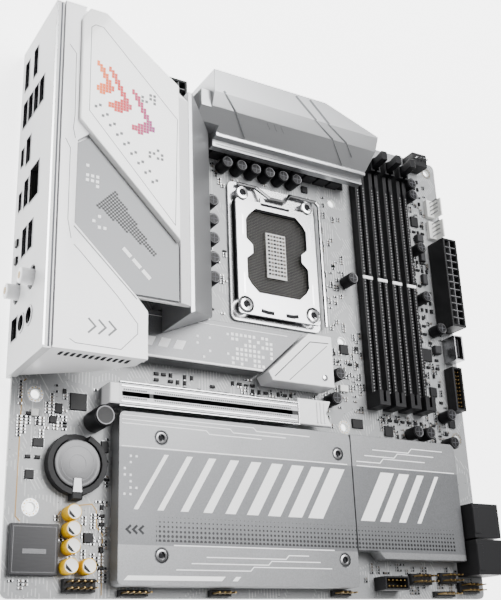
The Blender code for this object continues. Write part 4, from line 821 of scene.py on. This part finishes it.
MOUTHS = [(219.6, 1.2, 234.2, 6.9), (219.6, 13.2, 234.2, 18.9)]
MOUTHS += [(200.0, z, 212.8, z + 5.8) for z in (1.2, 8.6, 16.0, 23.4)]
MOUTHS += [(180.2, 1.4, 189.0, 5.6), (178.2, 8.6, 191.0, 14.4), (158.6, 1.4, 167.4, 5.6),
           (157.4, 8.6, 170.2, 14.4),
           (134.2, 9.4, 147.0, 15.2), (134.2, 17.2, 147.0, 23.0), (99.8, 1.2, 109.2, 8.6)]
rims, tongues = [], []
for y0, z0, y1, z1 in MOUTHS + [(156.4, 16.2, 172.2, 27.6)]:
    rims += [block((-1.75, y0 - 0.35, z0 - 0.35), (-0.6, y1 + 0.35, z0), 0.05),
             block((-1.75, y0 - 0.35, z1), (-0.6, y1 + 0.35, z1 + 0.35), 0.05),
             block((-1.75, y0 - 0.35, z0), (-0.6, y0, z1), 0.05),
             block((-1.75, y1, z0), (-0.6, y1 + 0.35, z1), 0.05)]
for y0, z0, y1, z1 in MOUTHS:
    middle, inside = (z0 + z1) / 2, (y1 - y0) * 0.12
    tongues.append(block((0.3, y0 + inside, middle - 0.7), (8.2, y1 - inside, middle + 0.7), 0.1))
lan_pins = [block((0.6, 160.4 + k * 1.1, 25.4), (7.5, 160.8 + k * 1.1, 26.0), 0.05) for k in range(8)]
jack_rims = [facing_x(washer(site, 3.4, 4.3, -1.85, -1.2, 28)) for site in ((104.5, 13.8), (104.5, 23.6))]
piece("port_rims", [(rim_plate, *rims, *jack_rims), (tongue_dark, *tongues), (gold, *lan_pins)])
softened("firmware_button", latch_gloss, 0.3)
softened("reset_button", latch_gloss, 0.3)
thread = [(3.2 + 0.14 * (k % 2), -6.6 + 0.45 * k) for k in range(1, 14)]
post = [(2.5, -6.6), (3.05, -6.5)] + thread + [(3.35, -0.5), (3.35, 1.6)]
posts = [facing_x(turned(post, site, 28)) for site in ((120.4, 24.5), (120.4, 5.8))]
post_bores = [facing_x(washer(site, 0.5, 1.5, -6.75, -6.55, 20)) for site in ((120.4, 24.5), (120.4, 5.8))]
piece("wireless_module_finished",
      [(shield_paint, block((1.4, 113.6, 0.3), (6.4, 127.4, 31.0), 0.4)), (latch_white, *posts),
       (gold, *post_bores)],
      stands_for=("wireless_module",))

# ---------------------------------------------------------------- power, drive and front connectors
# Black nylon shrouds with a cell for each terminal, plated pins standing in them, and bare pin
# headers along the lower edge.
nylon = grained("nylon_black", (0.012, 0.012, 0.013), 0.45, 0.0, 0.4, 0.2)
wall_grey = grained("cell_wall", (0.1, 0.1, 0.105), 0.45, 0.0, 0.4, 0.15)
header_white = grained("header_white", (0.72, 0.72, 0.7), 0.5, 0.0, 0.5, 0.05)
for node in ("power_connector_24pin", "processor_power_connector", "front_usb_header", "panel_header",
             "drive_connector_1", "drive_connector_2", "fan_header", "front_audio_header"):
    softened(node, nylon, 0.25)
softened("front_usb_c_header", rim_plate, 0.2)


def grid(low, high, columns, rows, base):
    """Evenly spaced places inside a rectangle, half a pitch in from each side."""
    xs = low[0] + (np.arange(columns) + 0.5) * (high[0] - low[0]) / columns
    ys = low[1] + (np.arange(rows) + 0.5) * (high[1] - low[1]) / rows
    across, up = np.meshgrid(xs, ys)
    return np.column_stack((across.ravel(), up.ravel(), np.full(across.size, base)))


def cells(low, high, columns, rows, floor, top):
    """Thin walls between the cells of a connector, drawn from side to side."""
    walls = [block((low[0] + k * (high[0] - low[0]) / columns - 0.25, low[1], floor),
                   (low[0] + k * (high[0] - low[0]) / columns + 0.25, high[1], top),
                   0.08) for k in range(1, columns)]
    walls += [block((low[0], low[1] + k * (high[1] - low[1]) / rows - 0.25, floor),
                    (high[0], low[1] + k * (high[1] - low[1]) / rows + 0.25, top),
                    0.08) for k in range(1, rows)]
    return walls


terminal = centred((1.0, 1.0), 7.0, 0.25)
pin = centred((0.64, 0.64), 6.2, 0.15)
piece("main_power_cells", [(wall_grey, *cells((233.4, 139.6), (241.0, 189.2), 2, 12, 2.5, 12.5)),
                           (tin, repeated(terminal, grid((233.4, 139.6), (241.0, 189.2), 2, 12, 2.4)))])
piece("processor_power_cells", [(wall_grey, *cells((59.6, 233.6), (74.2, 241.4), 4, 2, 2.5, 12.5)),
                                (tin, repeated(terminal, grid((59.6, 233.6), (74.2, 241.4), 4, 2, 2.4)))])
piece("front_usb_pins", [(gold, repeated(centred((0.5, 0.5), 3.8, 0.1),
                                         grid((235.4, 95.4), (238.9, 116.0), 2, 10, 2.4)))])
piece("front_usb_c_tongue", [(nylon, block((237.5, 122.8, 2.4), (238.7, 132.8, 8.6), 0.2))])
piece("panel_pins", [(gold, repeated(pin, grid((176.8, 3.9), (188.4, 9.1), 5, 2, 2.4)))])
piece("fan_pins", [(tin, repeated(centred((0.64, 0.64), 2.6, 0.15),
                                  grid((220.9, 237.4), (230.5, 240.4), 4, 1, 9.0)))])
piece("audio_pins", [(gold, repeated(pin, grid((23.9, 2.3), (36.7, 7.3), 5, 2, 2.8)))])
sata = []
for low_y in (27.6, 10.2):
    for z in (3.6, 10.2):
        sata += [block((236.2, low_y + 3.0, z - 0.6), (244.3, low_y + 9.4, z + 0.6), 0.1),
                 block((236.2, low_y + 10.4, z - 0.6), (244.3, low_y + 14.0, z + 0.6), 0.1)]
sata_lips = [block((227.9, y + 2, 15.45), (231.5, y + 14.6, 15.9), 0.15) for y in (27.6, 10.2)]
piece("drive_tongues", [(wall_grey, *sata), (nylon, *sata_lips)])
WHITE_HEADERS = ((233.0, 194.2), (233.0, 207.6))
for number, (x, y) in enumerate(WHITE_HEADERS, 1):
    piece(f"rgb_header_{number}", [(header_white, block((x, y, 0), (x + 6.0, y + 10.6, 2.6), 0.2),
                                    block((x + 5.0, y, 2.6), (x + 6.0, y + 10.6, 8.4), 0.3)),
                                   (tin, repeated(pin,
                                                  grid((x + 1, y + 0.3), (x + 4.0, y + 10.3), 1, 4, 2.6)))])
BARE_HEADERS = (((196.4, 6.4), 5, 2), ((214.6, 7.0), 4, 2), ((226.4, 2.6), 5, 2), ((210.4, 0.9), 5, 1),
                ((150.5, 1.1), 4, 1),
                ((88.0, 0.8), 4, 1), ((47.0, 0.8), 5, 1))
for number, ((x, y), columns, rows) in enumerate(BARE_HEADERS, 1):
    far = (x + columns * 2.54, y + rows * 2.54)
    piece(f"pin_header_{number}", [(nylon, block((x, y, 0), (*far, 2.5), 0.35)),
                                   (gold, repeated(pin, grid((x, y), far, columns, rows, 2.4)))])

# ---------------------------------------------------------------- battery
# A coin cell in a round black holder open towards the slot, held by a bent spring clip.
coin_steel = grained("coin_steel", (0.09, 0.09, 0.093), 0.36, 0.6, 0.5, 0.12, 0.008)
centre = np.array((27.6, 51.9))
softened("battery_holder", nylon, 0.35)
coin = turned(((9.4, 1.2), (9.95, 1.6), (10.0, 3.7), (9.6, 4.25), (8.9, 4.42), (8.5, 4.36), (8.2, 4.44)),
              centre, 72)
stamped = [washer(centre, r, r + 0.22, 4.38, 4.5, 56) for r in (3.4, 6.9)]
clip = [block((centre[0] - 2.2, 37.4, 0.1), (centre[0] + 2.2, 40.4, 5.0), 0.4),
        slab(((25.6, 40.2), (29.6, 40.2), (29.2, 46.0), (26.0, 46.0)), 4.5, 5.0, 0.15)]
piece("coin_battery_finished", [(coin_steel, coin), (can_top, *stamped)],
      stands_for=("coin_battery",), smooth=40)
piece("battery_clip", [(nylon, clip[0]), (screw_steel, clip[1])])

# ---------------------------------------------------------------- audio parts and controller chips
# A pressed screen over the codec with gold-sleeved capacitors beside it, one larger black
# capacitor, and flat packages with gull-wing leads.
screen = Finish("codec_screen", (0.03, 0.03, 0.032), 0.35, 0.0)
fade = (screen.x + screen.y) * (1 / 48.0)
brushed = screen.noise(0.6, 2.0, (8, 1, 1))
screen.set("Base Color", (fade * 0.8 + brushed * 0.2).tint((0.004, 0.004, 0.005), (0.06, 0.06, 0.064)))
screen.set("Roughness", brushed * 0.15 + 0.28)
screen.relief(brushed, 0.006)
softened("audio_codec_shield", screen, 0.4)
frame_line = [(3.2, 9.5), (20.2, 9.5), (20.2, 26.6), (3.2, 26.6), (3.2, 9.5)]
piece("codec_screen_line", [(can_top, stroke(level(frame_line, 2.66), 0.22),
                             patch(((7, 16.4), (16.4, 16.4), (16.4, 18.2), (7, 18.2)), 2.6))])
big_can = turned(((4.0, 0.3), (4.55, 0.7), (4.55, 12.2), (4.35, 12.7), (4.5, 13.1), (4.1, 13.5),
                  (3.8, 13.4)), (35.4, 70.5), 36)
big_top = turned(((3.85, 13.35), (3.75, 13.56), (3.2, 13.5)), (35.4, 70.5), 36)
piece("filter_capacitor_finished", [(sleeve_black, big_can, big_top),
                                    (can_top, washer((35.4, 70.5), 3.5, 3.9, 13.5, 13.62))],
      stands_for=("filter_capacitor",))
gold_sleeve = grained("gold_sleeve", (0.72, 0.42, 0.0), 0.35, 0.0, 0.5, 0.08)
sleeve_white = grained("sleeve_top", (0.85, 0.84, 0.8), 0.45, 0.1, 0.5, 0.04)
audio_can = turned(((2.7, 0.0), (3.1, 0.35), (3.1, 6.3), (2.9, 6.6), (3.05, 6.85), (2.75, 7.05)), sides=28)
audio_top = turned(((2.75, 7.0), (2.7, 7.14), (2.2, 7.08)), sides=28)
audio_mark = slab(((-2.3, -1.0), (-0.6, -2.3), (0.6, -2.3), (-2.3, 0.8)), 7.1, 7.2)
AUDIO_CANS = level(((25.9, 32.3), (25.8, 25.8), (25.8, 19.2), (25.2, 11.7), (32.6, 11.7)), 0.0)
piece("audio_capacitors", [(gold_sleeve, repeated(audio_can, AUDIO_CANS)),
                           (sleeve_black, repeated(audio_mark, AUDIO_CANS)),
                           (sleeve_white, repeated(audio_top, AUDIO_CANS))])
package = grained("package_black", (0.01, 0.01, 0.011), 0.4, 0.0, 0.5, 0.15)
CHIPS = ((28.5, 78.4, 7.2, 7.2), (17.9, 69.9, 3.1, 3.1), (34.2, 23.2, 3.9, 3.9), (44.0 - 3.5, 60.3, 3.2, 4.8),
         (172.9, 82.3, 6.4, 4.6), (192.1, 80.2, 5.2, 5.2), (222.4, 124.2, 7.0, 7.0), (234.9, 87.8, 4.2, 4.2),
         (224.5, 104.0, 4.4, 5.0), (168.0, 120.0, 5.0, 5.0), (224.0, 203.0, 5.0, 6.0),
         (172.0, 214.0, 6.0, 5.0),
         (20.0, 74.8, 3.2, 4.2), (12.0, 60.0, 4.4, 3.4), (9.0, 33.0 + 14, 3.6, 3.6), (150.0, 206.0, 3.5, 3.5))
bodies, leads = [], []
for x, y, width, height in CHIPS:
    bodies.append(block((x - width / 2, y - height / 2, 0.1), (x + width / 2, y + height / 2, 1.1), 0.15))
    steps = np.arange(-height / 2 + 0.5, height / 2 - 0.2, 0.65)
    both = [(x + side * (width / 2 + 0.3), y + step, 0.0) for step in steps for side in (-1, 1)]
    leads.append(repeated(centred((0.75, 0.3), 0.25, 0.05), both))
    steps = np.arange(-width / 2 + 0.5, width / 2 - 0.2, 0.65)
    ends = [(x + step, y + side * (height / 2 + 0.3), 0.0) for step in steps for side in (-1, 1)]
    leads.append(repeated(centred((0.3, 0.75), 0.25, 0.05), ends))
# Larger black inductors and diodes in the crowded strips beside the slots; the strip between the expansion
# slot and the upper storage heatsink, y 88 to 97, is crowded with them partly to paint the shade that falls
# there
STRIPS = (((37.0, 6.0), (42.0, 64.0), 1, 17), ((62.0, 88.4), (136.0, 96.6), 21, 3),
          ((218.6, 92.0), (231.0, 232.0), 4, 30),
          ((44.0, 87.8), (60.0, 96.0), 5, 3), ((5.5, 66.0), (24.0, 84.0), 5, 5),
          ((187.0, 76.0), (232.0, 88.0), 11, 3),
          ((150.0, 110.0), (178.0, 128.0), 6, 4), ((6.0, 30.0), (14.0, 64.0), 2, 9))
larger = []
for low, high, columns, rows in STRIPS:
    spread = grid(low, high, columns, rows, 0.0)
    larger.append(spread[chance.random(len(spread)) < 0.55] + np.append(chance.uniform(-0.5, 0.5, 2), 0))
larger = level(free_places(np.concatenate(larger)[:, :2], 1.4), 0.0)
clear = np.ones(len(larger), bool)
for x, y, *rest in list(CANS) + [chip[:2] for chip in CHIPS]:
    clear &= np.hypot(larger[:, 0] - x, larger[:, 1] - y) > 4.6
larger = larger[clear]
turn = chance.random(len(larger)) < 0.5
bodies += [repeated(centred((2.3, 1.3), 1.0, 0.2), larger[turn]),
           repeated(centred((1.3, 2.1), 0.9, 0.2), larger[~turn])]
leads += [repeated(centred((2.8, 0.8), 0.3), larger[turn]), repeated(centred((0.8, 2.6), 0.3), larger[~turn])]
piece("controller_chips", [(package, *bodies), (tin, *leads)])
BOXES = ((226.5, 182.0, 3.2, 6.0, 2.4), (226.3, 168.1, 3.2, 6.0, 2.4), (225.4, 192.4, 4.4, 4.4, 3.0),
         (229.4, 127.6, 4.4, 4.4, 3.0),
         (165.9, 99.4, 5.0, 3.4, 1.6), (31.6, 66.0 - 6.5, 3.0, 3.0, 1.6), (10.0, 22.0 + 50, 3.0, 3.0, 1.8))
piece("inductors", [(choke_grey, *[block((x - w / 2, y - h / 2, 0), (x + w / 2, y + h / 2, t), 0.3) for x,
                                   y, w, h, t in BOXES[:4]]),
                    (header_white, *[block((x - w / 2, y - h / 2, 0), (x + w / 2, y + h / 2, t),
                                           0.3) for x, y, w, h, t in BOXES[4:]])])
GOLD_LINES = (((6.2, 86.0), (4.6, 84.6), (4.3, 30.6), (6.3, 28.7)),
              ((20.9, 30.7), (22.6, 33.4)), ((29.6, 35.9), (35.7, 36.7), (37.6, 34.2), (38.0, 27.5),
                                             (40.4, 24.9), (40.4, 1.3)))
trace_gold = grained("trace_gold", (0.2, 0.12, 0.03), 0.4, 0.6, 0.5, 0.1)
piece("screen_traces", [(trace_gold, *[stroke(level(line, 0.06), 0.45, 0.1) for line in GOLD_LINES])])

# ---------------------------------------------------------------- floor, light and camera
# A pale studio: a plain floor, a broad soft light overhead and behind, and a camera low over the
# board's lower left side, looking up towards its top right.
floor_finish = Finish("studio_floor", (0.93, 0.93, 0.93), 0.6)
shell = floor_finish.noise(120.0, 1.0)
floor_finish.set("Base Color", shell.tint((0.92, 0.92, 0.92), (0.94, 0.94, 0.94)))
floor_finish.set("Emission Color", (1.0, 1.0, 1.0, 1.0))
floor_finish.set("Emission Strength", 3.0)
floor_mesh = bpy.data.meshes.new("studio_floor")
floor_size = 3.0
floor_drop = cad_box[0][2] - 0.0005
floor_mesh.from_pydata([(-floor_size, -floor_size, floor_drop), (floor_size, -floor_size, floor_drop),
                        (floor_size, floor_size, floor_drop), (-floor_size, floor_size, floor_drop)], [],
                       [(0, 1, 2, 3)])
floor_mesh.materials.append(floor_finish.material)
floor = bpy.data.objects.new("studio_floor", floor_mesh)
bpy.context.scene.collection.objects.link(floor)

CAMERA_PLACE = np.array((-108.1, -26.6, 366.1))
CAMERA_AXES = np.array(((0.86104815, -0.03645424, 0.50721511), (0.15301887, -0.93262586, -0.32679386),
                        (0.48495495, 0.35899874, -0.79745759)))   # right, down and ahead
camera = bpy.data.cameras.new("camera")
camera.lens = 57.0
camera.sensor_width = 36.0
camera.clip_start = 0.01
camera_object = bpy.data.objects.new("camera", camera)
bpy.context.scene.collection.objects.link(camera_object)
view = np.eye(4)
view[:3, :3] = (CAMERA_AXES * np.array(((1,), (-1,), (-1,)))).T
view[:3, 3] = CAMERA_PLACE * MM + BOARD_CORNER
camera_object.matrix_world = Matrix(view.tolist())
bpy.context.scene.camera = camera_object

world = bpy.data.worlds.new("studio")
world.use_nodes = True
world.node_tree.nodes["Background"].inputs["Color"].default_value = (1.0, 1.0, 1.0, 1)
world.node_tree.nodes["Background"].inputs["Strength"].default_value = 0.42
bpy.context.scene.world = world
LIGHTS = (("overhead", (0.25, 0.3, 0.85), 0.6, 17.0), ("from_left", (-0.9, 0.0, 0.45), 0.7, 3.5),
          ("from_behind", (0.15, 0.9, 0.4), 0.6, 7.0))
for name, place, size, power in LIGHTS:
    lamp = bpy.data.lights.new(name, "AREA")
    lamp.size = size
    lamp.energy = power
    lamp_object = bpy.data.objects.new(name, lamp)
    bpy.context.scene.collection.objects.link(lamp_object)
    lamp_object.location = place
    aim = Vector(place).to_track_quat("Z", "Y")
    lamp_object.rotation_euler = aim.to_euler()
